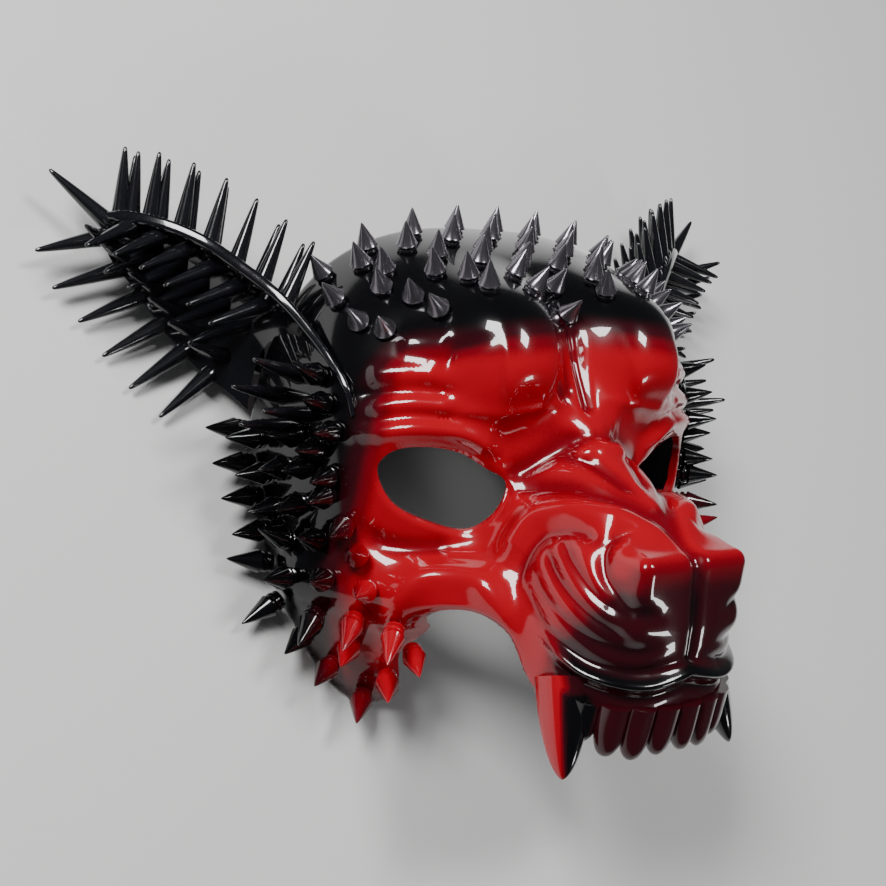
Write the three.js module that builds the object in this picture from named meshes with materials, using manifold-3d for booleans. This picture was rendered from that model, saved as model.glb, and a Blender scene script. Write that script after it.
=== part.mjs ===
// Wolf half mask lying on its back, in millimetres, +Z up.
// The mask is modelled in its face frame first: x to the mask's left side, y towards the forehead,
// z out through the nose. It is then tipped by LIE_TILT_DEG, so that the flat back edges of its
// cheeks lie on the ground, and set over the origin.
import * as THREE from 'three';
import { mergeVertices } from 'three/addons/utils/BufferGeometryUtils.js';
import Module from 'manifold-3d';

// Driving dimensions
const WALL = 3.2; // thickness of the cast shell
const LIE_TILT_DEG = 34; // tilt of the face plane when the mask lies on its cheek edges
const FLOOR_DROP = 1; // height of the face frame's origin over the ground, after the tilt
const CROWN_BACK_Z = 15; // back edge of the crown, in the face frame
const SEAT_GAP = 0.3; // clearance between pieces that touch
const AZIMUTHS = 46; // facets round the nose axis
const RINGS = 23; // facets from the nose back to the edge
const INNER_RINGS = 6; // facets of the plainer inside

// The face is a free form. Its forms and carving below are drawn on a face of the DRAWN sizes,
// and onFace stretches that drawing to the real ones
const FACE = { width: 162, height: 196, depth: 146 }; // cheek to cheek, crown to jaw, edge to nose
const DRAWN = { width: 162, height: 196, depth: 146 };
const STRETCH = [FACE.width / DRAWN.width, FACE.height / DRAWN.height, FACE.depth / DRAWN.depth];

const HEAD = { centre: [0, -28, 0], half: [81, 84, 84], jawHalf: 112, squareness: 2.8 };
const BROW = { centre: [24, 22, 60], half: [21, 24, 27], squareness: 2.2 };
// Below its crease each brow's dome is cut by a flatter facet
const BROW_FACET = { on: [24, 11, 83], faces: [0, -0.35, 0.94], softness: 1.5 };
const BRIDGE = { from: [0, -3, 73], to: [0, -27, 118], radii: [16, 14] };
const MUZZLE = { centre: [0, -50, 100], half: [33, 40, 46], squareness: 2.8 };
const NOSE = { centre: [0, -28, 124], half: [20.5, 12, 19], edge: 4 };
const CHEEKBONE = { from: [33, -46, 92], to: [70, -52, 48], radii: [11, 9] };
const BLENDS = { brow: 9, bridge: 14, muzzle: 14, nose: 4, cheekbone: 10 };
const POLE = [0, -38, 30]; // centre that the shell's lines of sight leave from

const EYE_OUTLINE = [[27, -12, 85], [33, -8, 81], [41, -4, 79], [50, -3, 74], [58, -5.5, 68],
  [61.5, -11, 66], [58, -21, 71], [48, -26, 76], [37, -27.5, 83], [30, -20, 87]];
const EYE_HOLE = { toeDeg: 22, inwards: 30, outwards: 25, corners: 24 }; // it faces toeDeg outwards
// Mouth opening in side view, y and z: cheek lobe, arch, then the gum line under the muzzle
const MOUTH_OUTLINE = [[-93, 50], [-93, 58], [-91.5, 64], [-87, 68.5], [-80, 70], [-70, 71.5],
  [-60, 78], [-52, 85], [-47.5, 94], [-47.5, 101], [-51, 106], [-57, 110], [-62, 114], [-66, 120],
  [-67, 130], [-66, 150]];
const MOUTH_CORNERS = 36;
const FANG = { base: [28, -57, 125], tip: [33, -82, 138], half: [8.2, 5.2], fullness: 1.7 };
// Incisors: x and z of each at the gum, and its length
const INCISORS = [[4.3, 144.5, 16], [12.6, 143, 17], [20, 140, 16], [25.5, 134.5, 13]];
const INCISOR = { gumY: -60, half: [4.1, 3], spread: [0.6, -0.5], fullness: 3 };
const TOOTH = { rings: 4, sides: 6, bluntness: 0.1, narrowing: 0.7, faces: 1.6, facesFrom: [0, 0, 100] };

const STUD = { height: 15, radius: 3.7, neck: 2.9, neckHeight: 4, lift: 1.1, sides: 5 };
const FUSED_STUD = { height: 14, radius: 3.6, sides: 4, sink: 1 };
const CROWN_STUD = { height: 10.5, radius: 4.3, sides: 4, sink: 1 };
const SPIKE = { height: 22, radius: 3, sides: 4, sink: 1.5 };
const STUD_LEAN = 0.15; // how far the side studs lean up from the surface under them

const EAR = {
  // Edges of the leaf on the mask's left side, from the tip to where they run along the head
  rim: [[121.5, 48, -15], [110.8, 48.4, -4.2], [98.7, 44.8, 7.2], [88.4, 38.3, 16.2], [79.5, 31, 26],
    [74.8, 23.5, 37], [72, 16.6, 47], [70, 9.5, 55.5], [68.6, 2, 58.5]],
  heel: [[122.5, 46, -15.5], [120.5, 36, -12.5], [113, 26.5, -9.5], [104.6, 14.4, -3], [95, 3.6, 3.6],
    [86.7, -2.7, 9], [78.5, -10, 15], [68, -17, 24]],
  facing: [0.7, -0.13, 0.7], // way that the hollow of the ear faces
  cup: { depth: 9, width: 34 }, // the hollow is this deep where the leaf is this wide or wider
  wall: 3,
  alongSteps: 13,
  acrossSteps: 5,
};
// Rows of spikes on each ear: face of the leaf, place across it from the rim to the heel, first and
// last place along it from the tip, count, and the ways that the first and the last spike point
const SPIKE_ROWS = [
  ['back', 0.06, [0.04, 0.6], 7, [[-0.05, 0.98, -0.12], [-0.4, 0.9, -0.1]]],
  ['back', 0.3, [0.08, 0.62], 7, [[-0.1, 0.97, -0.2], [-0.42, 0.88, -0.2]]],
  ['front', 0.2, [0.1, 0.74], 8, [[0.83, -0.25, 0.48], [0.96, -0.22, 0.18]]],
  ['front', 0.5, [0.2, 0.74], 7, [[0.85, -0.28, 0.42], [0.96, -0.22, 0.18]]],
  ['front', 0.82, [0.12, 0.6], 6, [[0.69, 0.41, 0.59], [0.75, 0.3, 0.58]]],
  ['edge', 1, [0.05, 0.74], 7, [[0.97, -0.24, 0], [0.75, -0.58, 0.31]]],
];
const TIP_SPIKE_WAY = [0.71, 0.6, -0.37];

// Studs over the crown: distance of each row from the crown's back edge, half spread and count
const CROWN_ROWS = [
  { fromEdge: 7, halfSpreadDeg: 39, count: 8 },
  { fromEdge: 16, halfSpreadDeg: 42, count: 9 },
  { fromEdge: 25, halfSpreadDeg: 40, count: 8 },
  { fromEdge: 34, halfSpreadDeg: 43, count: 9 },
  { fromEdge: 43, halfSpreadDeg: 36, count: 8 },
  { fromEdge: 51, halfSpreadDeg: 25, count: 5 },
];
const CROWN_SEARCH_STEPS = 80;
const CROWN_HALF_WIDTH = 62; // the crown studs stop here, short of the ears
// Studs on each side of the head: height of each row over the ground, places along it and count
const CHEEK_ROWS = [
  { height: 6.5, along: [-20, -108], count: 9 },
  { height: 16, along: [-26, -104], count: 8 },
  { height: 25.5, along: [-38, -98], count: 6 },
  { height: 34.5, along: [-50, -90], count: 5 },
];
const TEMPLE_ROWS = [
  { kind: FUSED_STUD, height: 43.5, along: [-15, -33], count: 3 },
  { kind: FUSED_STUD, height: 37, along: [-36, -45], count: 2 },
  { kind: FUSED_STUD, height: 31, along: [-30, -40], count: 2 },
  { kind: SPIKE, height: 36, along: [-12, -25], count: 2 },
  { kind: SPIKE, height: 28, along: [-16, -26], count: 2 },
];
const COLOURS = { red: 0xb3121f, black: 0x0b0b10, metal: 0x15151b };

const wasm = await Module();
wasm.setup();

const add = (a, b, k = 1) => [a[0] + k * b[0], a[1] + k * b[1], a[2] + k * b[2]];
const dot = (a, b) => a[0] * b[0] + a[1] * b[1] + a[2] * b[2];
const cross = (a, b) => [a[1] * b[2] - a[2] * b[1], a[2] * b[0] - a[0] * b[2], a[0] * b[1] - a[1] * b[0]];
const size = (a) => Math.hypot(...a);
const unit = (a) => a.map((v) => v / size(a));
const mixNumber = (a, b, t) => a + (b - a) * t;
const mix = (a, b, t) => a.map((v, i) => mixNumber(v, b[i], t));
const onSide = (p, side) => [side * p[0], p[1], p[2]];
const onFace = (p) => p.map((v, i) => v * STRETCH[i]);
const countTo = (count) => Array.from({ length: count }, (unused, i) => i);
const steps = (first, last, count) => countTo(count).map((i) => mixNumber(first, last, i / (count - 1)));

// Base form: named round forms joined with soft blends, negative inside
function smoothUnion(a, b, blend) {
  const h = Math.min(1, Math.max(0, 0.5 + (0.5 * (b - a)) / blend));
  return b * (1 - h) + a * h - blend * h * (1 - h);
}

function superEllipsoid(p, form) {
  const [x, y, z] = add(p, form.centre, -1);
  const halfY = y < 0 && form.jawHalf ? form.jawHalf : form.half[1];
  const n = form.squareness;
  const halves = [form.half[0], halfY, form.half[2]];
  const sum = [x, y, z].reduce((total, v, i) => total + (Math.abs(v) / halves[i]) ** n, 0);
  return (Math.max(sum, 1e-9) ** (1 / n) - 1) * Math.min(...form.half);
}

function taperedBar(p, form) {
  const along = add(form.to, form.from, -1);
  const fromStart = add(p, form.from, -1);
  const t = Math.min(1, Math.max(0, dot(fromStart, along) / dot(along, along)));
  return size(add(fromStart, along, -t)) - mixNumber(form.radii[0], form.radii[1], t);
}

function roundedBox(p, form) {
  const q = add(p, form.centre, -1).map((v, i) => Math.abs(v) - form.half[i] + form.edge);
  return size(q.map((v) => Math.max(v, 0))) + Math.min(Math.max(...q), 0) - form.edge;
}

function browForm(p) {
  const facet = dot(add(p, BROW_FACET.on, -1), BROW_FACET.faces);
  return -smoothUnion(-superEllipsoid(p, BROW), -facet, BROW_FACET.softness);
}

function baseField(point) {
  const p = point.map((v, i) => v / STRETCH[i]);
  p[0] = Math.abs(p[0]);
  let d = smoothUnion(superEllipsoid(p, HEAD), browForm(p), BLENDS.brow);
  d = smoothUnion(d, taperedBar(p, BRIDGE), BLENDS.bridge);
  d = smoothUnion(d, superEllipsoid(p, MUZZLE), BLENDS.muzzle);
  d = smoothUnion(d, roundedBox(p, NOSE), BLENDS.nose);
  return smoothUnion(d, taperedBar(p, CHEEKBONE), BLENDS.cheekbone);
}

const WAYS = [[1, 0, 0], [0, 1, 0], [0, 0, 1]];
const NORMAL_STEP = 0.4;

function baseNormal(p) {
  return unit(WAYS.map((way) => baseField(add(p, way, NORMAL_STEP)) - baseField(add(p, way, -NORMAL_STEP))));
}

const SEARCH = { step: 3, reach: 240, halvings: 18 };

// First point where a line of sight from a start leaves the base form
function leaveForm(start, direction) {
  let near = 0;
  while (baseField(add(start, direction, near + SEARCH.step)) < 0 && near < SEARCH.reach) near += SEARCH.step;
  let far = near + SEARCH.step;
  for (let i = 0; i < SEARCH.halvings; i += 1) {
    const middle = (near + far) / 2;
    if (baseField(add(start, direction, middle)) < 0) near = middle;
    else far = middle;
  }
  return add(start, direction, far);
}

// Carving: strokes along short curves, given on the mask's left side and mirrored.
// A roll stands up, a groove sinks in; both fade out at their ends.
const STROKES = [
  { name: 'furrow beside the dome', kind: 'groove', width: 2.6, height: 2.4,
    path: [[25, 33, 80], [20, 26, 82], [13, 19, 84], [6.5, 13, 85]] },
  { name: 'middle furrow', kind: 'groove', width: 2.2, height: 1.8,
    path: [[13, 34, 79], [9, 26, 80], [5, 19, 82], [2.5, 12, 85]] },
  { name: 'edge over the dome', kind: 'groove', width: 3, height: 1.2,
    path: [[30, 35, 78], [38, 33, 75], [45, 28, 71], [47, 21, 70], [44, 15, 75]] },
  { name: 'upper temple roll', kind: 'roll', width: 5, height: 1.8,
    path: [[47, 20, 71], [55, 18, 66], [63, 15, 58]] },
  { name: 'upper temple crease', kind: 'groove', width: 2.6, height: 1.8,
    path: [[45, 16, 75], [52, 15, 68], [59, 13, 63], [65, 12, 57]] },
  { name: 'middle temple roll', kind: 'roll', width: 4.2, height: 1.8,
    path: [[43, 11, 77], [51, 11, 70], [57, 9, 66], [64, 6, 61]] },
  { name: 'lower temple crease', kind: 'groove', width: 2.4, height: 1.6,
    path: [[41, 6, 78], [49, 6.5, 73], [56, 6, 68], [66, 1, 60]] },
  { name: 'lid ridge', kind: 'roll', width: 3.6, height: 2.4,
    path: [[35, 0, 80], [41, 1, 78], [49, 2, 74], [55, 2, 70], [66, -2, 60]] },
  { name: 'fold under the dome', kind: 'groove', width: 2.8, height: 2.6,
    path: [[6, 5, 91], [14, 0, 90], [21, -6, 87], [27, -10, 84]] },
  { name: 'frown wrinkle', kind: 'groove', width: 1.8, height: 1.6,
    path: [[0, 4, 92], [5, 3, 92], [10, 1, 91]] },
  { name: 'bridge wrinkle', kind: 'groove', width: 2.4, height: 2.2,
    path: [[14, -1, 91], [9, -1, 98], [6, -3, 106], [3, -6, 115]] },
  { name: 'snarl crease', kind: 'groove', width: 2.8, height: 2.8,
    path: [[26, -13, 87], [18, -9, 99], [13, -8, 109], [7, -8, 119], [0, -11, 130]] },
  { name: 'snarl fold', kind: 'roll', width: 5, height: 2.8,
    path: [[34, -33, 98], [30, -27, 97], [26, -18, 99], [22, -13.5, 106], [17, -12, 116], [9, -11.5, 126]] },
  { name: 'crease under the snarl fold', kind: 'groove', width: 2.8, height: 2.4,
    path: [[33, -36, 105], [31, -29, 104], [28, -21, 106], [24, -16.5, 114], [20.5, -16.5, 124]] },
  { name: 'first whisker fold', kind: 'groove', width: 2.2, height: 1.5,
    path: [[26, -20, 113], [27, -25, 122], [26, -30, 131], [22, -33, 139]] },
  { name: 'second whisker fold', kind: 'groove', width: 2.2, height: 1.6,
    path: [[29, -23, 109], [30, -29, 118], [28, -35, 130], [22, -39, 140]] },
  { name: 'third whisker fold', kind: 'groove', width: 2.2, height: 1.5,
    path: [[31, -28, 106], [32, -35, 115], [29, -41, 130], [19, -43, 142], [10, -42, 146]] },
  { name: 'fourth whisker fold', kind: 'groove', width: 2.4, height: 1.6,
    path: [[33, -34, 106], [32, -43, 117], [28, -48, 131], [18, -49, 143], [5, -46, 146]] },
  { name: 'lip bead', kind: 'roll', width: 2.4, height: 2.8,
    path: [[33, -49, 119], [30, -52, 128], [23, -54, 139], [12, -53.5, 145], [5, -51, 147],
      [0, -48.5, 147]] },
  { name: 'crease under the lip', kind: 'groove', width: 2, height: 1.4,
    path: [[32, -54, 122], [27, -57, 133], [15, -58, 144], [0, -55, 146]] },
  { name: 'philtrum', kind: 'groove', width: 2, height: 1.8,
    path: [[0, -17, 142], [0, -26, 144], [0, -36, 145], [0, -46, 146]] },
  { name: 'nose crease', kind: 'groove', width: 2.2, height: 1.8,
    path: [[0, -10, 124], [0, -14, 134], [0, -17, 143]] },
  { name: 'nose wing', kind: 'groove', width: 2.4, height: 2.4,
    path: [[17, -14, 125], [21, -17, 126], [23.5, -24, 130], [21, -31, 138], [14, -32.5, 144],
      [9, -31, 145]] },
  { name: 'nostril', kind: 'groove', width: 2, height: 2.2,
    path: [[9, -31, 145], [6.5, -28.5, 144], [8, -25.5, 144]] },
  { name: 'cheek crease', kind: 'groove', width: 2.8, height: 1.8,
    path: [[41, -32, 81], [50, -34, 76], [59, -34, 70], [63, -31, 66]] },
  { name: 'arch roll', kind: 'roll', width: 4.4, height: 2.6,
    path: [[33, -56, 112], [35, -46, 105], [41, -38, 94], [50, -40, 84], [56, -50, 78], [53, -64, 75],
      [48, -80, 72]] },
];

function curveOf(points, closed = false) {
  return new THREE.CatmullRomCurve3(points.map((p) => new THREE.Vector3(...p)), closed);
}

const STROKE_SAMPLES = 24;
const STROKE_END = { height: 0.25, rise: 5 }; // share of the height at a free end, and its rise
const strokeSamples = STROKES.map(({ path }) => curveOf(path.map(onFace)).getSpacedPoints(STROKE_SAMPLES)
  .map((v) => v.toArray()));

// Height of the carving over the base form: each stroke is a bell across its curve
function carvedHeight(point) {
  const p = [Math.abs(point[0]), point[1], point[2]];
  return STROKES.reduce((total, stroke, i) => {
    const samples = strokeSamples[i];
    const distances = samples.map((s) => size(add(p, s, -1)));
    const near = Math.min(...distances);
    const t = distances.indexOf(near) / (samples.length - 1);
    const fadeAt = (end, way) => (end[0] === 0 ? 1 : STROKE_END.height + STROKE_END.rise * way);
    const fade = Math.min(1, fadeAt(stroke.path[0], t), fadeAt(stroke.path.at(-1), 1 - t));
    const sign = stroke.kind === 'roll' ? 1 : -1;
    return total + sign * stroke.height * fade * Math.exp(-((near / stroke.width) ** 2));
  }, 0);
}

// Closed solids from points and triangles
const SAME_POINT = 1e-5;

function solidFrom(points, triangles) {
  const geometry = new THREE.BufferGeometry();
  geometry.setAttribute('position', new THREE.Float32BufferAttribute(points.flat(), 3));
  geometry.setIndex(triangles.flat());
  return solidOf(geometry);
}

function solidOf(source) {
  const geometry = source.clone();
  geometry.deleteAttribute('normal');
  geometry.deleteAttribute('uv');
  const merged = mergeVertices(geometry, SAME_POINT);
  return new wasm.Manifold(new wasm.Mesh({
    numProp: 3,
    vertProperties: new Float32Array(merged.attributes.position.array),
    triVerts: new Uint32Array(merged.index.array),
  }));
}

// The largest body of a cut solid, without the slivers that the cut leaves
function mainBody(solid) {
  return solid.decompose().reduce((a, b) => (a.volume() > b.volume() ? a : b));
}

function geometryOf(solid) {
  const mesh = solid.getMesh();
  const geometry = new THREE.BufferGeometry();
  geometry.setAttribute('position', new THREE.BufferAttribute(mesh.vertProperties, 3));
  geometry.setIndex(new THREE.BufferAttribute(mesh.triVerts, 1));
  const faceted = geometry.toNonIndexed();
  faceted.computeVertexNormals();
  return faceted;
}

// Rings of equal count joined side to side, with both ends closed on their middles
function loftSolid(rings) {
  const count = rings[0].length;
  const points = rings.flat();
  const triangles = [];
  for (let r = 0; r + 1 < rings.length; r += 1) {
    for (let i = 0; i < count; i += 1) {
      const a = r * count + i;
      const b = r * count + ((i + 1) % count);
      triangles.push([a, b, b + count], [a, b + count, a + count]);
    }
  }
  const middle = (ring) => ring.reduce((sum, p) => add(sum, p, 1 / count), [0, 0, 0]);
  const first = points.push(middle(rings[0])) - 1;
  const last = points.push(middle(rings.at(-1))) - 1;
  const lastStart = (rings.length - 1) * count;
  for (let i = 0; i < count; i += 1) {
    triangles.push([first, (i + 1) % count, i], [last, lastStart + i, lastStart + ((i + 1) % count)]);
  }
  const solid = solidFrom(points, triangles);
  return solid.volume() > 0 ? solid : solidFrom(points, triangles.map(([a, b, c]) => [a, c, b]));
}

// Face shell
const LIE = THREE.MathUtils.degToRad(LIE_TILT_DEG);
const FLOOR_UP = [0, Math.sin(LIE), Math.cos(LIE)];
const overFloor = (p) => dot(p, FLOOR_UP) + FLOOR_DROP;
const insideEdges = (p) => Math.min(overFloor(p), p[2] - CROWN_BACK_Z);
const EDGE_SPARE = 4; // how far the shell is made past its edges before it is cut
const SIGHT = { step: THREE.MathUtils.degToRad(2), last: THREE.MathUtils.degToRad(149) };
const FAR = 300; // reach of the cutting blocks

// Base points from the nose back to the edge, spaced evenly along the surface
function meridian(azimuth, count) {
  const reached = [];
  for (let polar = 0; polar < SIGHT.last; polar += SIGHT.step) {
    const across = Math.sin(polar);
    const sight = [across * Math.sin(azimuth), across * Math.cos(azimuth), Math.cos(polar)];
    const p = leaveForm(onFace(POLE), sight);
    reached.push(p);
    if (insideEdges(p) < -EDGE_SPARE) break;
  }
  const lengths = reached.map(() => 0);
  for (let i = 1; i < reached.length; i += 1) {
    lengths[i] = lengths[i - 1] + size(add(reached[i], reached[i - 1], -1));
  }
  const points = [];
  let i = 0;
  for (let k = 1; k <= count; k += 1) {
    const wanted = (lengths.at(-1) * k) / count;
    while (i + 2 < lengths.length && lengths[i + 1] < wanted) i += 1;
    points.push(mix(reached[i], reached[i + 1], (wanted - lengths[i]) / (lengths[i + 1] - lengths[i])));
  }
  return points;
}

function ringsOf(count, surface) {
  const columns = [];
  for (let i = 0; i < AZIMUTHS; i += 1) {
    columns.push(meridian((2 * Math.PI * i) / AZIMUTHS, count).map((p) => surface(p)));
  }
  return countTo(count).map((r) => columns.map((column) => column[r]));
}

const carved = (p, clearance = 0) => add(p, baseNormal(p), carvedHeight(p) + clearance);
const lining = (p) => add(p, baseNormal(p), -WALL);

function blockSolid(low, high, turn = 0) {
  const geometry = new THREE.BoxGeometry(high[0] - low[0], high[1] - low[1], high[2] - low[2]);
  geometry.translate((low[0] + high[0]) / 2, (low[1] + high[1]) / 2, (low[2] + high[2]) / 2);
  geometry.rotateX(turn);
  return solidOf(geometry);
}

const belowFloor = blockSolid([-FAR, -FAR, -FAR - FLOOR_DROP], [FAR, FAR, -FLOOR_DROP], -LIE);
const behindCrown = blockSolid([-FAR, -FAR, -FAR], [FAR, FAR, CROWN_BACK_Z]);

function eyeCutter(side) {
  const toe = THREE.MathUtils.degToRad(EYE_HOLE.toeDeg);
  const curve = curveOf(EYE_OUTLINE.map((p) => onSide(onFace(p), side)), true);
  const outline = curve.getSpacedPoints(EYE_HOLE.corners).slice(0, -1).map((v) => v.toArray());
  const sight = [side * Math.sin(toe), 0, Math.cos(toe)];
  const ends = [-EYE_HOLE.inwards, EYE_HOLE.outwards];
  return loftSolid(ends.map((far) => outline.map((p) => add(p, sight, far))));
}

// A prism of the mouth's side view, which is closed under the jaw and in front of the nose
function mouthCutter() {
  const drawn = MOUTH_OUTLINE.map(([y, z]) => onFace([0, y, z]));
  const shaped = new THREE.SplineCurve(drawn.map(([, y, z]) => new THREE.Vector2(y, z)));
  const [, jawY] = drawn[0];
  const [, gumY] = drawn.at(-1);
  const corners = [[gumY, FAR], [-FAR, FAR], [-FAR, 0], [jawY, 0]].map(([y, z]) => new THREE.Vector2(y, z));
  const shape = new THREE.Shape([...shaped.getSpacedPoints(MOUTH_CORNERS), ...corners]);
  const geometry = new THREE.ExtrudeGeometry(shape, { depth: 2 * FAR, bevelEnabled: false, steps: 1 });
  const toSideView = new THREE.Matrix4().set(0, 0, 1, -FAR, 1, 0, 0, 0, 0, 1, 0, 0, 0, 0, 0, 1);
  return solidOf(geometry.applyMatrix4(toSideView));
}

// Teeth: tapered round forms from the gum to the tip
function toothSolid(base, tip, { half, fullness }) {
  const axis = unit(add(tip, base, -1));
  const fromMiddle = add([base[0] * TOOTH.faces, 0, base[2]], TOOTH.facesFrom, -1);
  const sideways = unit(cross(axis, unit(fromMiddle)));
  const front = cross(sideways, axis);
  return loftSolid(steps(0, 1, TOOTH.rings + 1).map((t) => {
    const taper = Math.max(TOOTH.bluntness, (1 - t ** fullness) ** TOOTH.narrowing);
    return countTo(TOOTH.sides).map((i) => {
      const turn = (2 * Math.PI * i) / TOOTH.sides;
      const wide = add(mix(base, tip, t), sideways, half[0] * taper * Math.cos(turn));
      return add(wide, front, half[1] * taper * Math.sin(turn));
    });
  }));
}

function teethSolids(side) {
  const fang = toothSolid(onSide(onFace(FANG.base), side), onSide(onFace(FANG.tip), side), FANG);
  const incisors = INCISORS.map(([x, z, length]) => {
    const base = onSide(onFace([x, INCISOR.gumY, z]), side);
    const tip = add(base, [side * INCISOR.spread[0], -length, INCISOR.spread[1]]);
    return toothSolid(base, tip, INCISOR);
  });
  return [fang, ...incisors];
}

// Studs and spikes: rings of [radius, height] along a straight axis, ending in a point
function coneSolid(base, way, profile, height, sides) {
  const axis = unit(way);
  const aside = unit(cross(axis, Math.abs(axis[2]) < Math.SQRT1_2 ? WAYS[2] : WAYS[1]));
  const other = cross(axis, aside);
  const points = profile.flatMap(([radius, along]) => countTo(sides).map((i) => {
    const turn = (2 * Math.PI * (i + 0.5)) / sides;
    return add(add(add(base, axis, along), aside, radius * Math.cos(turn)), other, radius * Math.sin(turn));
  }));
  const tip = points.push(add(base, axis, height)) - 1;
  const triangles = [];
  const top = (profile.length - 1) * sides;
  for (let i = 0; i < sides; i += 1) {
    const next = (i + 1) % sides;
    for (let r = 0; r < top; r += sides) {
      triangles.push([r + i, r + next, r + next + sides], [r + i, r + next + sides, r + i + sides]);
    }
    triangles.push([top + i, top + next, tip]);
    if (i > 1) triangles.push([0, i, i - 1]);
  }
  return solidFrom(points, triangles);
}

// A plain cone that is sunk into what carries it
function fusedCone({ base, way }, kind) {
  const start = add(base, unit(way), -kind.sink);
  return coneSolid(start, way, [[kind.radius, 0]], kind.sink + kind.height, kind.sides);
}

function faceShell() {
  const outer = ringsOf(RINGS, (p) => carved(p));
  const inner = ringsOf(INNER_RINGS, lining).reverse();
  const sock = loftSolid([...outer, ...inner]);
  let solid = sock.subtract(belowFloor).subtract(behindCrown).subtract(mouthCutter());
  for (const side of [-1, 1]) {
    solid = solid.subtract(eyeCutter(side));
    for (const tooth of teethSolids(side)) solid = solid.add(tooth);
    for (const row of TEMPLE_ROWS) {
      for (const seat of sideSeats(row, side)) solid = solid.add(fusedCone(seat, row.kind));
    }
  }
  for (const seat of crownSeats()) solid = solid.add(fusedCone(seat, CROWN_STUD));
  return solid;
}

// Places of the crown studs: on each line from the nose over the crown, a set way in from its edge
function crownSeats() {
  const seats = CROWN_ROWS.flatMap(({ fromEdge, halfSpreadDeg, count }) => (
    steps(-halfSpreadDeg, halfSpreadDeg, count).map((degrees) => {
      const line = meridian(THREE.MathUtils.degToRad(degrees), CROWN_SEARCH_STEPS).reverse();
      const base = line.find((p) => insideEdges(p) > fromEdge);
      return { base, way: baseNormal(base) };
    })));
  return seats.filter(({ base }) => Math.abs(base[0]) < CROWN_HALF_WIDTH);
}

// Places of one row of studs on the side of the head, parallel to the ground. Each slides along the
// ground as the face is stretched
function sideSeats({ height, along, count }, side) {
  const ground = [0, Math.cos(LIE), -Math.sin(LIE)];
  return steps(along[0], along[1], count).map((drawn) => {
    const drawnStart = add(add([0, 0, 0], ground, drawn), FLOOR_UP, height - FLOOR_DROP);
    const place = dot(onFace(drawnStart), ground);
    const start = add(add([0, 0, 0], ground, place), FLOOR_UP, height - FLOOR_DROP);
    const base = carved(leaveForm(start, [side, 0, 0]));
    return { base, way: unit(add(baseNormal(base), FLOOR_UP, STUD_LEAN)) };
  });
}

// Ear: a hollow leaf between two edge curves, bowed back between them
const earRim = curveOf(EAR.rim.map(onFace));
const earHeel = curveOf(EAR.heel.map(onFace));

function earPoint(along, across, behind) {
  const rim = earRim.getPointAt(along).toArray();
  const chord = add(earHeel.getPointAt(along).toArray(), rim, -1);
  const facing = unit(add(EAR.facing, chord, -dot(EAR.facing, chord) / dot(chord, chord)));
  const bow = 4 * across * (1 - across) * EAR.cup.depth * Math.min(1, size(chord) / EAR.cup.width);
  return add(add(rim, chord, across), facing, -bow - behind);
}

function earSolid(side) {
  const places = steps(0, 1, EAR.acrossSteps + 1);
  let solid = loftSolid(steps(0, 1, EAR.alongSteps + 1).map((along) => {
    const hollow = places.map((across) => earPoint(along, across, 0));
    const back = places.map((across) => earPoint(along, across, EAR.wall)).reverse();
    return [...hollow, ...back].map((p) => onSide(p, side));
  }));
  for (const { base, way } of spikeSeats()) {
    solid = solid.add(fusedCone({ base: onSide(base, side), way: onSide(way, side) }, SPIKE));
  }
  return solid;
}

// Feet and ways of the spikes of a left ear. Rows on its back stand on the outside of its wall
function spikeSeats() {
  const depths = { front: 0, back: EAR.wall, edge: EAR.wall / 2 };
  const seats = SPIKE_ROWS.flatMap(([face, across, along, count, ways]) => steps(0, 1, count).map((t) => ({
    base: earPoint(mixNumber(along[0], along[1], t), across, depths[face]),
    way: mix(ways[0], ways[1], t),
  })));
  const clear = seats.filter(({ base }) => baseField(base) > SPIKE.radius + SEAT_GAP);
  return [...clear, { base: earPoint(0, 0.5, EAR.wall / 2), way: TIP_SPIKE_WAY }];
}

// The head as a full solid, a clearance larger, that the ears are cut to
function headSolid() {
  return loftSolid(ringsOf(RINGS, (p) => carved(p, SEAT_GAP)));
}

// Cheek studs: a cone on a ringed neck, standing a clearance off the shell
function cheekStudSolid({ base, way }) {
  const foot = add(base, way, SEAT_GAP + STUD.lift);
  return coneSolid(foot, way, [[STUD.neck, 0], [STUD.radius, STUD.neckHeight]], STUD.height, STUD.sides);
}

const group = new THREE.Group();
const mask = new THREE.Group();
mask.rotation.x = LIE;
group.add(mask);

function addPiece(name, solid, colour, roughness, metalness) {
  const material = new THREE.MeshStandardMaterial({ color: colour, roughness, metalness });
  const mesh = new THREE.Mesh(geometryOf(solid), material);
  mesh.name = name;
  mask.add(mesh);
}

addPiece('face_shell', faceShell(), COLOURS.red, 0.15, 0);
const head = headSolid();
for (const [side, word] of [[1, 'left'], [-1, 'right']]) {
  const ear = mainBody(earSolid(side).subtract(head).subtract(belowFloor));
  addPiece(`ear_${word}`, ear, COLOURS.black, 0.2, 0);
  CHEEK_ROWS.flatMap((row) => sideSeats(row, side)).forEach((seat, i) => {
    const number = String(i + 1).padStart(2, '0');
    addPiece(`cheek_stud_${word}_${number}`, cheekStudSolid(seat), COLOURS.metal, 0.25, 0);
  });
}

// The mask stands over the origin by the middle of its outline
group.updateMatrixWorld(true);
const bounds = new THREE.Box3().setFromObject(group, true);
group.position.set(-(bounds.min.x + bounds.max.x) / 2, -(bounds.min.y + bounds.max.y) / 2, -bounds.min.z);
group.updateMatrixWorld(true);
export default group;
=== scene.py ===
"""A snarling wolf half mask in glossy lacquer, with cone studs and spiked ears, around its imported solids.

Every shape is worked out in the mask's face frame, in millimetres: x towards the mask's left side,
y towards the forehead and z out through the nose. The mask is then tipped onto the back edges of its
cheeks and set over the origin, in metres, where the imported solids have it.
"""

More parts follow.
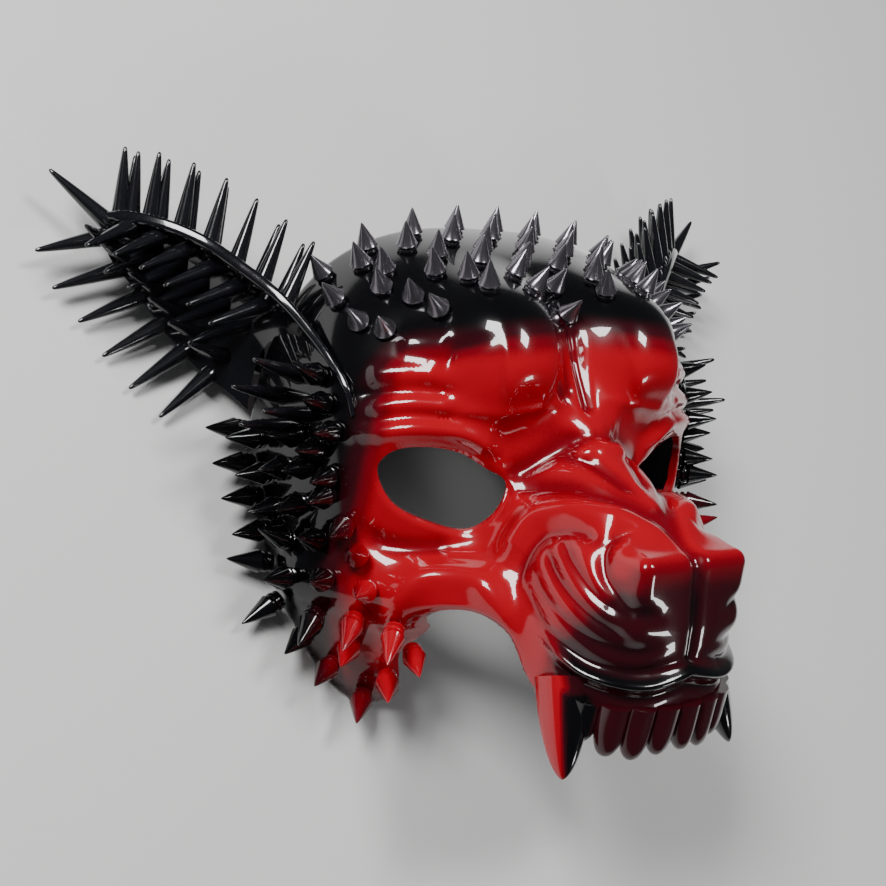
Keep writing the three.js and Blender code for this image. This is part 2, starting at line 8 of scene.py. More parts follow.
import logging
import math
from dataclasses import dataclass
from enum import Enum
from typing import Any, ClassVar

import bpy
import numpy as np
from mathutils import Matrix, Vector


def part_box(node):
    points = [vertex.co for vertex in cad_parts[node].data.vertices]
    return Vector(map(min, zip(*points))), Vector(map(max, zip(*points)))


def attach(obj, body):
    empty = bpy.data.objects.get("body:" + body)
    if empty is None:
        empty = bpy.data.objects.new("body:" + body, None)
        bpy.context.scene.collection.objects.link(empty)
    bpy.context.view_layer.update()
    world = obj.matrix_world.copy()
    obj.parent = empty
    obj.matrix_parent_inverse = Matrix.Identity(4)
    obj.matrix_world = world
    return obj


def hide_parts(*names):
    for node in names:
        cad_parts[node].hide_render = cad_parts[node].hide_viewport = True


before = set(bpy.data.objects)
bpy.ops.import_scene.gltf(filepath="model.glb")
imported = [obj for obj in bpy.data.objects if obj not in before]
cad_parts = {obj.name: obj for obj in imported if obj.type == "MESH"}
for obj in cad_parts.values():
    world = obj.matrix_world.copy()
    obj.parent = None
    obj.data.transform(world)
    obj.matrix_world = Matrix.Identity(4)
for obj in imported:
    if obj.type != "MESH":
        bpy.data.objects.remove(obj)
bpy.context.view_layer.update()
LOG = logging.getLogger("wolf_mask")

Points = np.ndarray
Place = tuple[float, float, float]

MM = 0.001
WALL = 3.2  # thickness of the cast shell
LIE_TILT = math.radians(34)  # tilt of the face when the mask lies on its cheek edges
FLOOR_DROP = 1.0  # height of the face frame's origin over the ground, after the tilt
CROWN_BACK_Z = 15.0  # back edge of the crown
SEAT_GAP = 0.3  # clearance between pieces that touch
EDGE_SPARE = 4.0  # how far the shell is made past its edges before it is cut
FAR = 300.0  # reach of the cutting blocks
POLE = np.array([0.0, -38.0, 30.0])  # centre that the shell's lines of sight leave from
SIGHT_STEP = math.radians(2)
SIGHT_LIMIT = 2.6  # widest angle of a line of sight from the nose, in radians
MARCH_STEP = 3.0  # step along a line of sight while it looks for the form
MARCH_REACH = 240.0  # farthest that it looks
HALVINGS = 20  # how often the last step is halved
CURVE_STEPS = 60  # points on each span of a curve, before they are spaced evenly
MEASURED_AT_ONCE = 8000  # points whose distances are worked out together, to bound the memory
STROKE_POINTS = 60  # points that a carved stroke's curve is measured from
STROKE_REACH = 3.2  # widths from its curve past which a stroke is too low to count
STROKE_END = 0.25  # share of its height that a stroke has at its very end
STROKE_RISE = 5.0  # how fast it rises from there, per share of its length
MIDDLE_SOFTNESS = 1.5  # half width of the strip where a stroke of one half of the face fades out
FLOOR_UP = np.array([0.0, math.sin(LIE_TILT), math.cos(LIE_TILT)])


def unit(vectors: Points) -> Points:
    """Vectors of length one, each divided by its own length."""
    return vectors / np.linalg.norm(vectors, axis=-1, keepdims=True)


def on_left(points: Points) -> Points:
    """Points of both halves of the face, mirrored onto its left half."""
    return np.concatenate([np.abs(points[..., :1]), points[..., 1:]], -1)


def smooth_step(low: float, high: float, value: Points) -> Points:
    """0 below low, 1 above high and 3t² - 2t³ between them."""
    share = np.clip((value - low) / (high - low), 0, 1)
    return share * share * (3 - 2 * share)


def smooth_union(first: Points, second: Points, blend: float) -> Points:
    """The smaller of two distances, rounded off by a parabola where they are within blend.

    Args:
        first: distances to one form, negative inside.
        second: distances to the other.
        blend: width of the rounded join.

    Returns:
        Distances to both forms as one.
    """
    share = np.clip(0.5 + 0.5 * (second - first) / blend, 0, 1)
    return second * (1 - share) + first * share - blend * share * (1 - share)


def curve_through(points: list, count: int, closed: bool = False) -> Points:
    """Evenly spaced points on the centripetal Catmull-Rom curve through the given points.

    Each span is a cubic whose end slopes weigh the neighbouring chords by the square roots of
    their lengths.

    Args:
        points: places that the curve passes through.
        count: number of points on the curve.
        closed: whether the curve returns to its start.

    Returns:
        The points, one row each. A closed curve's last point repeats its first.
    """
    given = np.asarray(points, float)
    if closed:
        padded = np.concatenate([given[-1:], given, given[:2]])
    else:
        padded = np.concatenate([2 * given[:1] - given[1:2], given, 2 * given[-1:] - given[-2:-1]])
    p0, p1, p2, p3 = padded[:-3], padded[1:-2], padded[2:-1], padded[3:]
    chords = ((p0, p1), (p1, p2), (p2, p3))
    d0, d1, d2 = (np.sqrt(np.linalg.norm(end - start, axis=1, keepdims=True)) for start, end in chords)
    leave = ((p1 - p0) / d0 - (p2 - p0) / (d0 + d1) + (p2 - p1) / d1) * d1
    arrive = ((p2 - p1) / d1 - (p3 - p1) / (d1 + d2) + (p3 - p2) / d2) * d1
    t = np.linspace(0, 1, CURVE_STEPS, endpoint=False)[None, :, None]
    p1, p2, leave, arrive = (part[:, None] for part in (p1, p2, leave, arrive))
    square, cube = 3 * (p2 - p1) - 2 * leave - arrive, 2 * (p1 - p2) + leave + arrive
    spans = p1 + leave * t + square * t**2 + cube * t**3
    dense = np.concatenate([spans.reshape(-1, given.shape[1]), given[:1] if closed else given[-1:]])
    return spaced(dense, np.linspace(0, 1, count))


def spaced(line: Points, shares: Points) -> Points:
    """Points at the given shares of a line's length."""
    lengths = np.concatenate([[0], np.cumsum(np.linalg.norm(np.diff(line, axis=0), axis=1))])
    return np.stack([np.interp(shares * lengths[-1], lengths, column) for column in line.T], -1)


def distance_to_line(points: Points, line: Points) -> tuple[Points, Points]:
    """Distance of each point to the nearest chord of a line, and how far along the line that is.

    Args:
        points: places to measure from, one row each.
        line: corners of the line.

    Returns:
        The distances, and the shares of the line's chords passed.
    """
    starts, steps = line[:-1], np.diff(line, axis=0)
    squares = np.maximum((steps**2).sum(1), 1e-12)
    nearest, shares = np.empty(len(points)), np.empty(len(points))
    for first in range(0, len(points), MEASURED_AT_ONCE):
        group = slice(first, first + MEASURED_AT_ONCE)
        part = points[group]
        offsets = part[:, None] - starts
        along = np.clip((offsets * steps).sum(-1) / squares, 0, 1)
        gaps = np.linalg.norm(offsets - along[..., None] * steps, axis=-1)
        best = gaps.argmin(1)
        rows = np.arange(len(part))
        nearest[group] = gaps[rows, best]
        shares[group] = (best + along[rows, best]) / len(steps)
    return nearest, shares


def inside_outline(points: Points, outline: Points) -> Points:
    """Whether each flat point lies inside a closed outline, by how often a ray crosses its sides."""
    start, end = outline, np.roll(outline, -1, axis=0)
    px, py = points[:, None, 0], points[:, None, 1]
    spans = (start[:, 1] > py) != (end[:, 1] > py)
    rise = np.where(end[:, 1] == start[:, 1], 1e-9, end[:, 1] - start[:, 1])
    crossing = start[:, 0] + (end[:, 0] - start[:, 0]) * (py - start[:, 1]) / rise
    return (spans & (px < crossing)).sum(1) % 2 == 1


# Base forms of the head
@dataclass(frozen=True)
class RoundForm:
    """A super-ellipsoid: the points where the sum of |offset / half size| to a power is one."""

    centre: Place
    half: Place
    squareness: float
    jaw_half: float | None = None  # half height below the centre, where it differs

    def field(self, points: Points) -> Points:
        """Approximate distance to the form, negative inside."""
        offsets = points - np.array(self.centre)
        halves = np.broadcast_to(np.array(self.half), offsets.shape).copy()
        if self.jaw_half:
            halves[..., 1] = np.where(offsets[..., 1] < 0, self.jaw_half, self.half[1])
        total = (np.abs(offsets / halves) ** self.squareness).sum(-1)
        return (np.maximum(total, 1e-9) ** (1 / self.squareness) - 1) * min(self.half)


@dataclass(frozen=True)
class TaperedBar:
    """A round bar between two balls of different sizes."""

    start: Place
    end: Place
    radii: tuple[float, float]

    def field(self, points: Points) -> Points:
        """Distance to the middle line less the radius there."""
        start, along = np.array(self.start), np.array(self.end) - np.array(self.start)
        share = np.clip(((points - start) @ along) / (along @ along), 0, 1)
        gap = np.linalg.norm(points - start - share[..., None] * along, axis=-1)
        return gap - (self.radii[0] + (self.radii[1] - self.radii[0]) * share)


@dataclass(frozen=True)
class RoundedBox:
    """A box with rounded edges."""

    centre: Place
    half: Place
    edge: float

    def field(self, points: Points) -> Points:
        """Distance to the box shrunk by its edge radius, less that radius."""
        over = np.abs(points - np.array(self.centre)) - np.array(self.half) + self.edge
        return np.linalg.norm(np.maximum(over, 0), axis=-1) + np.minimum(over.max(-1), 0) - self.edge


class Profile(Enum):
    """Cross-sections of a carved stroke: which way it goes, and how sharp its middle is."""

    ROLL = (1, 2.0)
    GROOVE = (-1, 2.0)
    CREASE = (-1, 1.45)
    RIDGE = (1, 1.4)


@dataclass(frozen=True)
class Stroke:
    """A carved stroke along a curve: a bell across it, height times exp(-(distance / width) to a power)."""

    name: str
    profile: Profile
    width: float
    height: float
    path: list
    half: int = 0  # 1 for the mask's left half alone, -1 for its right, 0 for both
    dark: float = 0.0  # black paint along its middle, as dark as a groove this deep

    def share(self, across: Points) -> Points:
        """How much of the stroke shows at places across the mask: all, or one half of it."""
        return smooth_step(-MIDDLE_SOFTNESS, MIDDLE_SOFTNESS, across * self.half) if self.half else 1.0

    def bell(self, points: Points) -> Points:
        """Share of the full height at points of the mask's left half, faded at the stroke's ends."""
        line = curve_through(self.path, STROKE_POINTS)
        bell = np.zeros(len(points))
        reach = STROKE_REACH * self.width
        near = np.all((points > line.min(0) - reach) & (points < line.max(0) + reach), axis=1)
        if not near.any():
            return bell
        gaps, along = distance_to_line(points[near], line)
        start = 1 if self.path[0][0] == 0 else np.minimum(1, STROKE_END + STROKE_RISE * along)
        end = 1 if self.path[-1][0] == 0 else np.minimum(1, STROKE_END + STROKE_RISE * (1 - along))
        bell[near] = np.minimum(start, end) * np.exp(-((gaps / self.width) ** self.profile.value[1]))
        return bell

    def relief(self, points: Points) -> Points:
        """Height over the base form at points of the mask's left half."""
        return self.profile.value[0] * self.height * self.bell(points)


ROLL, GROOVE, CREASE, RIDGE = Profile.ROLL, Profile.GROOVE, Profile.CREASE, Profile.RIDGE
STROKES = [
    Stroke("swell of the dome", ROLL, 10, 2.4, [(15, 19, 83), (24, 21, 84), (34, 20, 81)]),
    Stroke("ledge of the brow", RIDGE, 1.7, 1.3,
           [(8, 13, 84), (17, 12.2, 83.4), (23.5, 11.2, 83), (31, 9.9, 82), (39, 9.4, 79), (43.5, 8, 76)]),
    Stroke("hollow under the ledge", GROOVE, 4.4, 1.0,
           [(10, 6, 87), (17, 5, 88), (25, 3.5, 86), (34, 3.5, 82)]),
    Stroke("furrow beside the dome", CREASE, 2.2, 2.6,
           [(25, 30, 81), (17, 22, 82), (10.6, 16, 83), (7, 12, 85)], -1),
    Stroke("second furrow", CREASE, 1.9, 2.0, [(13, 30, 78), (8, 21, 80), (5.5, 14, 83)], -1),
    Stroke("middle furrow", GROOVE, 2.2, 2.2, [(0, 32, 73), (0, 21, 78), (0, 12, 85)]),
    Stroke("edge over the dome", CREASE, 2.4, 1.6,
           [(26, 31, 80.5), (33, 31, 79), (39.5, 29, 75.6), (44, 26, 72), (45.5, 21, 72)]),
    Stroke("tail of the brow", ROLL, 4.5, 1.8, [(55, 25, 59), (50, 26.5, 64), (44, 27, 71)]),
    Stroke("upper temple roll", ROLL, 4, 2.2, [(46, 18, 72), (55, 17.5, 66), (64, 14.5, 57)]),
    Stroke("upper temple crease", CREASE, 2.4, 2.2,
           [(43, 14.5, 76), (52, 13, 68), (59, 11.5, 63), (66, 9, 57)]),
    Stroke("middle temple roll", ROLL, 3.6, 2.2, [(43, 10, 77), (51, 9.3, 70), (57, 8, 66), (65, 4.5, 60)]),
    Stroke("lower temple crease", CREASE, 2.2, 1.8, [(41, 6.5, 78), (49, 6, 73), (56, 5.2, 68), (66, 1, 60)]),
    Stroke("lid ridge", ROLL, 3.2, 2.8,
           [(29, -5, 82), (35, 0, 80), (41, 2.4, 78), (49, 3, 74), (55, 2, 70), (66, -2.5, 60)]),
    Stroke("fold under the dome", CREASE, 2.8, 3.0, [(6, 5, 91), (14, 0, 90), (21, -6, 87), (27, -10, 84)]),
    Stroke("frown wrinkle", CREASE, 1.8, 1.6, [(0, 4, 92), (5, 3, 92), (10, 1, 91)]),
    Stroke("roll over the bridge", ROLL, 2.4, 1.4, [(0, 1.5, 96), (6, 0.5, 96), (11, -1.5, 94)]),
    Stroke("bridge wrinkle", CREASE, 2.4, 2.2, [(14, -1, 91), (9, -1, 98), (6, -3, 106), (3, -6, 115)]),
    Stroke("snarl crease", CREASE, 2.8, 2.8,
           [(26, -13, 87), (18, -9, 99), (13, -8, 109), (7, -8, 119), (0, -11, 130)]),
    Stroke("snarl fold", ROLL, 5, 3.0,
           [(34, -33, 98), (30, -27, 97), (26, -18, 99), (22, -13.5, 106), (17, -12, 116), (9, -11.5, 126)]),
    Stroke("crease under the snarl fold", CREASE, 2.8, 1.9,
           [(33, -36, 105), (31, -29, 104), (28, -21, 106), (24, -16.5, 114), (20.5, -16.5, 124)]),
    Stroke("first whisker fold", CREASE, 2.2, 1.5,
           [(26, -20, 113), (27, -25, 122), (26, -30, 131), (22, -33, 139)]),
    Stroke("second whisker fold", CREASE, 2.2, 1.4,
           [(29, -23, 109), (30, -29, 118), (28, -35, 130), (22, -39, 140)]),
    Stroke("third whisker fold", CREASE, 2.2, 1.2,
           [(31, -28, 106), (32, -35, 115), (29, -41, 130), (19, -43, 142), (10, -42, 146)]),
    Stroke("fourth whisker fold", CREASE, 2.4, 1.3,
           [(33, -34, 106), (32, -43, 117), (28, -48, 131), (18, -49, 143), (5, -46, 146)]),
    Stroke("lip bead", ROLL, 1.9, 2.6,
           [(33, -46.5, 119), (30.5, -49.5, 127), (28, -51.3, 132.3), (22, -52.4, 140), (14, -52.4, 144.5),
            (6, -50.6, 146), (0, -49, 146)], dark=3.6),
    Stroke("crease under the lip", CREASE, 1.8, 1.1,
           [(32, -52, 122), (27, -55.5, 133), (15, -57, 144), (0, -54, 146)]),
    Stroke("philtrum", CREASE, 2, 1.8, [(0, -17, 142), (0, -26, 144), (0, -36, 145), (0, -46, 146)]),
    Stroke("nose crease", GROOVE, 2.2, 1.8, [(0, -10, 124), (0, -14, 134), (0, -17, 143)]),
    Stroke("nose wing", CREASE, 2.3, 2.0,
           [(12, -13, 128), (16.5, -14.1, 126.5), (20, -16.2, 126.2), (22.1, -19, 127), (23.7, -24, 130.5),
            (23, -27.5, 135), (21.5, -30, 138.5), (17.4, -31, 143), (13, -32, 144.7)]),
    Stroke("cheek crease", GROOVE, 2.8, 1.8, [(41, -32, 81), (50, -34, 76), (59, -34, 70), (63, -31, 66)]),
    Stroke("arch roll", ROLL, 4.4, 2.6,
           [(33, -56, 112), (35, -46, 105), (41, -38, 94), (50, -40, 84), (56, -50, 78), (53, -64, 75),
            (48, -80, 72)]),
]


@dataclass(frozen=True)
class HeadForm:
    """The wolf's head as a closed form: named round forms joined with soft blends, then carved."""

    head: RoundForm = RoundForm((0, -28, 0), (81, 84, 84), 2.8, 112)
    brow: RoundForm = RoundForm((24, 22, 60), (21, 24, 27), 2.2)
    brow_crease: Place = (24, 11, 83)
    brow_facet: Place = (0, -0.35, 0.94)
    brow_softness: float = 1.5
    bridge: TaperedBar = TaperedBar((0, -3, 73), (0, -27, 118), (16, 14))
    muzzle: RoundForm = RoundForm((0, -50, 100), (33, 40, 46), 2.8)
    nose: RoundedBox = RoundedBox((0, -28, 124), (20.5, 12, 19), 4)
    cheekbone: TaperedBar = TaperedBar((33, -46, 92), (70, -52, 48), (11, 9))
    blends: tuple = (9, 14, 14, 4, 10)
    deepest: float = 2.5  # depth that the carving comes near to, within the shell's wall
    slope_step: float = 0.4  # half the step over which the form's slope is measured

    def brow_field(self, points: Points) -> Points:
        """The brow's dome, cut by a flatter facet below its crease."""
        facet = (points - np.array(self.brow_crease)) @ np.array(self.brow_facet)
        return -smooth_union(-self.brow.field(points), -facet, self.brow_softness)

    def field(self, points: Points) -> Points:
        """Distance to the uncarved head, negative inside. The two halves mirror each other."""
        p = on_left(points)
        total = smooth_union(self.head.field(p), self.brow_field(p), self.blends[0])
        for form, blend in zip((self.bridge, self.muzzle, self.nose, self.cheekbone), self.blends[1:]):
            total = smooth_union(total, form.field(p), blend)
        return total

    def normal(self, points: Points) -> Points:
        """Outward direction of the uncarved head, by central differences of its field."""
        ways = self.slope_step * np.eye(3)
        return unit(np.stack([self.field(points + way) - self.field(points - way) for way in ways], -1))

    def relief(self, points: Points) -> Points:
        """Height of the carving over the base form: the sum of all strokes, its depth held back by a tanh."""
        flat = points.reshape(-1, 3)
        mirrored = on_left(flat)
        total = sum(stroke.relief(mirrored) * stroke.share(flat[:, 0]) for stroke in STROKES)
        sunk = -self.deepest * np.tanh(-total / self.deepest)
        return np.where(total < 0, sunk, total).reshape(points.shape[:-1])

    def shade(self, points: Points) -> Points:
        """How dark each point is painted, in millimetres of groove depth: its carved depth, which darkens the
        grooves as painted shade over some airbrushed black in the creases, plus its stroke's dark, the lip's
        black paint.
        """
        flat = points.reshape(-1, 3)
        dark = sum(stroke.dark * stroke.bell(on_left(flat)) for stroke in STROKES if stroke.dark)
        return np.maximum(-self.relief(flat), 0) + dark

    def carved(self, points: Points) -> Points:
        """Base points moved out by the carving."""
        return points + self.normal(points) * self.relief(points)[..., None]

    def leave(self, starts: Points, ways: Points) -> Points:
        """First places where lines of sight leave the base form, found by stepping and halving.

        Args:
            starts: where the lines start, inside the form.
            ways: unit directions of the lines.

        Returns:
            The points on the form.
        """
        near = np.zeros(ways.shape[:-1])
        looking = np.ones(near.shape, bool)
        starts = np.broadcast_to(starts, ways.shape)
        while looking.any():
            ahead = starts[looking] + ways[looking] * (near[looking] + MARCH_STEP)[:, None]
            within = (self.field(ahead) < 0) & (near[looking] < MARCH_REACH)
            near[looking] += MARCH_STEP * within
            looking[looking] = within
        far = near + MARCH_STEP
        for _ in range(HALVINGS):
            middle = (near + far) / 2
            within = self.field(starts + ways * middle[..., None]) < 0
            near, far = np.where(within, middle, near), np.where(within, far, middle)
        return starts + ways * far[..., None]


def over_floor(points: Points) -> Points:
    """Height over the ground that the mask lies on."""
    return points @ FLOOR_UP + FLOOR_DROP


def inside_edges(points: Points) -> Points:
    """How far in from the shell's back edges a point is: the ground, or the crown's back plane."""
    return np.minimum(over_floor(points), points[..., 2] - CROWN_BACK_Z)


def sights(azimuths: Points, polars: Points) -> Points:
    """Unit directions from the pole: azimuth 0 is up the face, the polar angle starts at the nose."""
    across = np.sin(polars)
    return np.stack([across * np.sin(azimuths), across * np.cos(azimuths), np.cos(polars)], -1)


def meridians(form: HeadForm, azimuths: Points, shares: Points) -> Points:
    """Points of the base form along lines from the nose back past the shell's edge.

    Args:
        form: the head.
        azimuths: direction of each line round the nose axis.
        shares: places along each line, as shares of its length.

    Returns:
        An array of places, lines by shares by three.
    """
    polars = np.arange(0, SIGHT_LIMIT, SIGHT_STEP)
    grid = np.meshgrid(azimuths, polars, indexing="ij")
    reached = form.leave(POLE, sights(*grid))
    past = inside_edges(reached) < -EDGE_SPARE
    lasts = np.where(past.any(1), past.argmax(1), len(polars) - 1) + 1
    lines = []
    for line, last in zip(reached, lasts):
        lengths = np.concatenate([[0], np.cumsum(np.linalg.norm(np.diff(line[:last], axis=0), axis=1))])
        lines.append(np.interp(shares * lengths[-1], lengths, polars[:last]))
    return form.leave(POLE, sights(azimuths[:, None], np.array(lines)))


# Meshes
def grid_faces(rings: int, count: int, offset: int = 0, closed: bool = True) -> Points:
    """Quads between rings of equal count, ring after ring.

    Args:
        rings: number of rings.
        count: points on each ring.
        offset: index of the first ring's first point.
        closed: whether each ring returns to its start.

    Returns:
        An array of four indices a face.
    """
    across = np.arange(count if closed else count - 1)
    following = (across + 1) % count
    starts = offset + count * np.arange(rings - 1)[:, None]
    corners = [starts + across, starts + following, starts + count + following, starts + count + across]
    return np.stack(corners, -1).reshape(-1, 4)


def closed_loft(rings: Points) -> tuple[Points, list]:
    """A closed skin over rings of points, its two ends closed on their middles.

    Args:
        rings: an array of rings by points by three.

    Returns:
        The points and a list of face arrays.
    """
    count, size = rings.shape[:2]
    points = np.concatenate([rings.reshape(-1, 3), rings[[0, -1]].mean(1)])
    around = np.arange(size)
    following = (around + 1) % size
    first, last = count * size, count * size + 1
    start = np.stack([np.full(size, first), following, around], -1)
    tail = (count - 1) * size
    end = np.stack([np.full(size, last), tail + around, tail + following], -1)
    return points, [grid_faces(count, size), start, end]


def put_mesh(name: str, points: Points, faces: list) -> bpy.types.Object:
    """A mesh object from points in the face frame and arrays of faces, its faces turned outwards.

    Args:
        name: name of the object.
        points: places in millimetres.
        faces: arrays of indices, one row a face.

    Returns:
        The object, linked to the scene.
    """
    mesh = bpy.data.meshes.new(name)
    sizes = np.concatenate([np.full(len(part), part.shape[1]) for part in faces])
    corners = np.concatenate([part.ravel() for part in faces])
    mesh.vertices.add(len(points))
    mesh.vertices.foreach_set("co", points.astype(np.float32).ravel())
    mesh.loops.add(len(corners))
    mesh.loops.foreach_set("vertex_index", corners.astype(np.int32))
    mesh.polygons.add(len(sizes))
    mesh.polygons.foreach_set("loop_start", np.concatenate([[0], np.cumsum(sizes)[:-1]]).astype(np.int32))
    mesh.update(calc_edges=True)
    mesh.validate()
    if signed_volume(points, faces) < 0:
        mesh.flip_normals()
    piece = bpy.data.objects.new(name, mesh)
    bpy.context.scene.collection.objects.link(piece)
    return piece


def signed_volume(points: Points, faces: list) -> float:
    """Volume that the faces enclose, negative where they point inwards: the sum of thin pyramids."""
    total = 0.0
    for part in faces:
        corners = points[part]
        for k in range(1, part.shape[1] - 1):
            total += np.einsum("ij,ij->", corners[:, 0], np.cross(corners[:, k], corners[:, k + 1])) / 6
    return total


def combine(target: bpy.types.Object, other: bpy.types.Object, way: str) -> None:
    """Cuts another closed mesh out of a piece, or joins it on, and removes the other.

    Args:
        target: the piece that changes.
        other: the mesh that cuts or joins it.
        way: DIFFERENCE or UNION.
    """
    modifier = target.modifiers.new("combine", "BOOLEAN")
    modifier.operation = way
    modifier.solver = "MANIFOLD"
    modifier.object = other
    made = bpy.data.meshes.new_from_object(target.evaluated_get(bpy.context.evaluated_depsgraph_get()))
    target.modifiers.clear()
    target.data = made
    bpy.data.objects.remove(other)


def positions(mesh: bpy.types.Mesh) -> Points:
    """The vertices of a mesh as an array."""
    flat = np.empty(3 * len(mesh.vertices), np.float32)
    mesh.vertices.foreach_get("co", flat)
    return flat.reshape(-1, 3).astype(float)


def paint(piece: bpy.types.Object, name: str, values: Points) -> None:
    """Stores a number for each vertex under a name that the finishes read."""
    attribute = piece.data.attributes.new(name, "FLOAT", "POINT")
    attribute.data.foreach_set("value", values.astype(np.float32))


def painted(piece: bpy.types.Object, name: str) -> Points:
    """The numbers that a piece's vertices have under a name."""
    values = np.empty(len(piece.data.vertices), np.float32)
    piece.data.attributes[name].data.foreach_get("value", values)
    return values.astype(float)


def lie_down(points: Points, shift: float) -> Points:
    """Face-frame millimetres to metres on the ground: tipped back about x, then moved along y."""
    cosine, sine = math.cos(LIE_TILT), math.sin(LIE_TILT)
    x, y, z = points[..., 0], points[..., 1], points[..., 2]
    return MM * np.stack([x, y * cosine - z * sine + shift, y * sine + z * cosine + FLOOR_DROP], -1)


SMOOTH_UP_TO = math.radians(38)  # angle between two faces past which their edge stays sharp


def settle(piece: bpy.types.Object, shift: float) -> None:
    """Lays a finished piece down on the ground and shades its flatter edges smooth."""
    mesh = piece.data
    mesh.vertices.foreach_set("co", lie_down(positions(mesh), shift).astype(np.float32).ravel())
    mesh.polygons.foreach_set("use_smooth", np.ones(len(mesh.polygons), bool))
    mesh.set_sharp_from_angle(angle=SMOOTH_UP_TO)
    mesh.update()


# Sprays of black over the red: airbrushed black lacquer, with painted shade on the nose's front and the
# fang's front
SPRAY_EDGE = 3.0  # width of the soft edge where a spray is masked off


@dataclass(frozen=True)
class Spray:
    """Black that thickens along a direction: none at start, most of its cover at full. Most sprays are the
    lacquer's airbrushed black; the fang's front and part of the nose's front are painted shade.
    """

    name: str
    way: Place  # direction, where x counts away from the mask's middle
    start: float
    full: float
    most: float = 1.0
    across: tuple[float, float] = (-FAR, FAR)  # it lies this far from the mask's middle
    below: float = FAR  # it ends at this height

    def cover(self, points: Points) -> Points:
        """Share of cover at points in the face frame."""
        out = np.abs(points[:, 0])
        along = np.stack([out, *points.T[1:]], -1) @ np.array(self.way)
        thickness = smooth_step(self.start, self.full, along)
        inside = np.minimum(out - self.across[0], self.across[1] - out)
        reached = smooth_step(-SPRAY_EDGE, 0, inside) * smooth_step(0, SPRAY_EDGE, self.below - points[:, 1])
        return self.most * thickness * reached


SPRAYS = [
    Spray("crown", (0.12, 1, -0.25), 6, 25),
    Spray("temple", (1, 0.1, -0.35), 34, 56),
    Spray("cheek back", (0.75, 0.1, -0.66), -4, 26),
    Spray("jaw lobe", (0.2, -0.9, -0.4), 44, 70, 0.6),
    # Darker towards the nose's front and the lip: painted shade where the faces turn down from the light,
    # over some airbrushed black, with the lip's black paint
    Spray("nose front shade and lip black", (0, -0.58, 0.815), 120, 134, 0.62, (0, 29.5)),
    # Painted shade on the fang's front facet, which turns from the light; its outer facet stays red
    Spray("painted shade on the fang's front", (-0.7, 0.224, 0.7), 54.5, 57.5, 0.95, (27, FAR), -57),
]


def spray_cover(points: Points) -> Points:
    """Share of black at each point: what is left of the red after every spray, taken from one."""
    left = np.ones(len(points))
    for spray in SPRAYS:
        left *= 1 - spray.cover(points)
    return 1 - left


# Finishes
def linear(colour: str, alpha: float = 1.0) -> tuple[float, float, float, float]:
    """A linear colour from an sRGB hex value: each channel c becomes ((c + 0.055) / 1.055) to 2.4."""
    channels = [int(colour[i:i + 2], 16) / 255 for i in (1, 3, 5)]
    values = [c / 12.92 if c <= 0.04045 else ((c + 0.055) / 1.055) ** 2.4 for c in channels]
    return (*values, alpha)


def add_node(tree: bpy.types.NodeTree, kind: str, settings: dict[str | int, Any] | None = None,
             links: dict[str | int, bpy.types.NodeSocket] | None = None) -> bpy.types.Node:
    """Adds a node, sets its properties and inputs, and links its inputs to other nodes' outputs.

    Args:
        tree: the material's node tree.
        kind: Blender's name for the node.
        settings: property or input name to value.
        links: input name to output socket.

    Returns:
        The node.
    """
    node = tree.nodes.new(kind)
    for key, value in (settings or {}).items():
        if isinstance(key, int) or key in node.inputs:
            node.inputs[key].default_value = value
        else:
            setattr(node, key, value)
    for key, socket in (links or {}).items():
        tree.links.new(socket, node.inputs[key])
    return node


def new_material(name: str) -> tuple[bpy.types.Material, bpy.types.NodeTree]:
    """An empty node material and its tree."""
    material = bpy.data.materials.new(name)
    material.use_nodes = True
    material.node_tree.nodes.clear()
    return material, material.node_tree


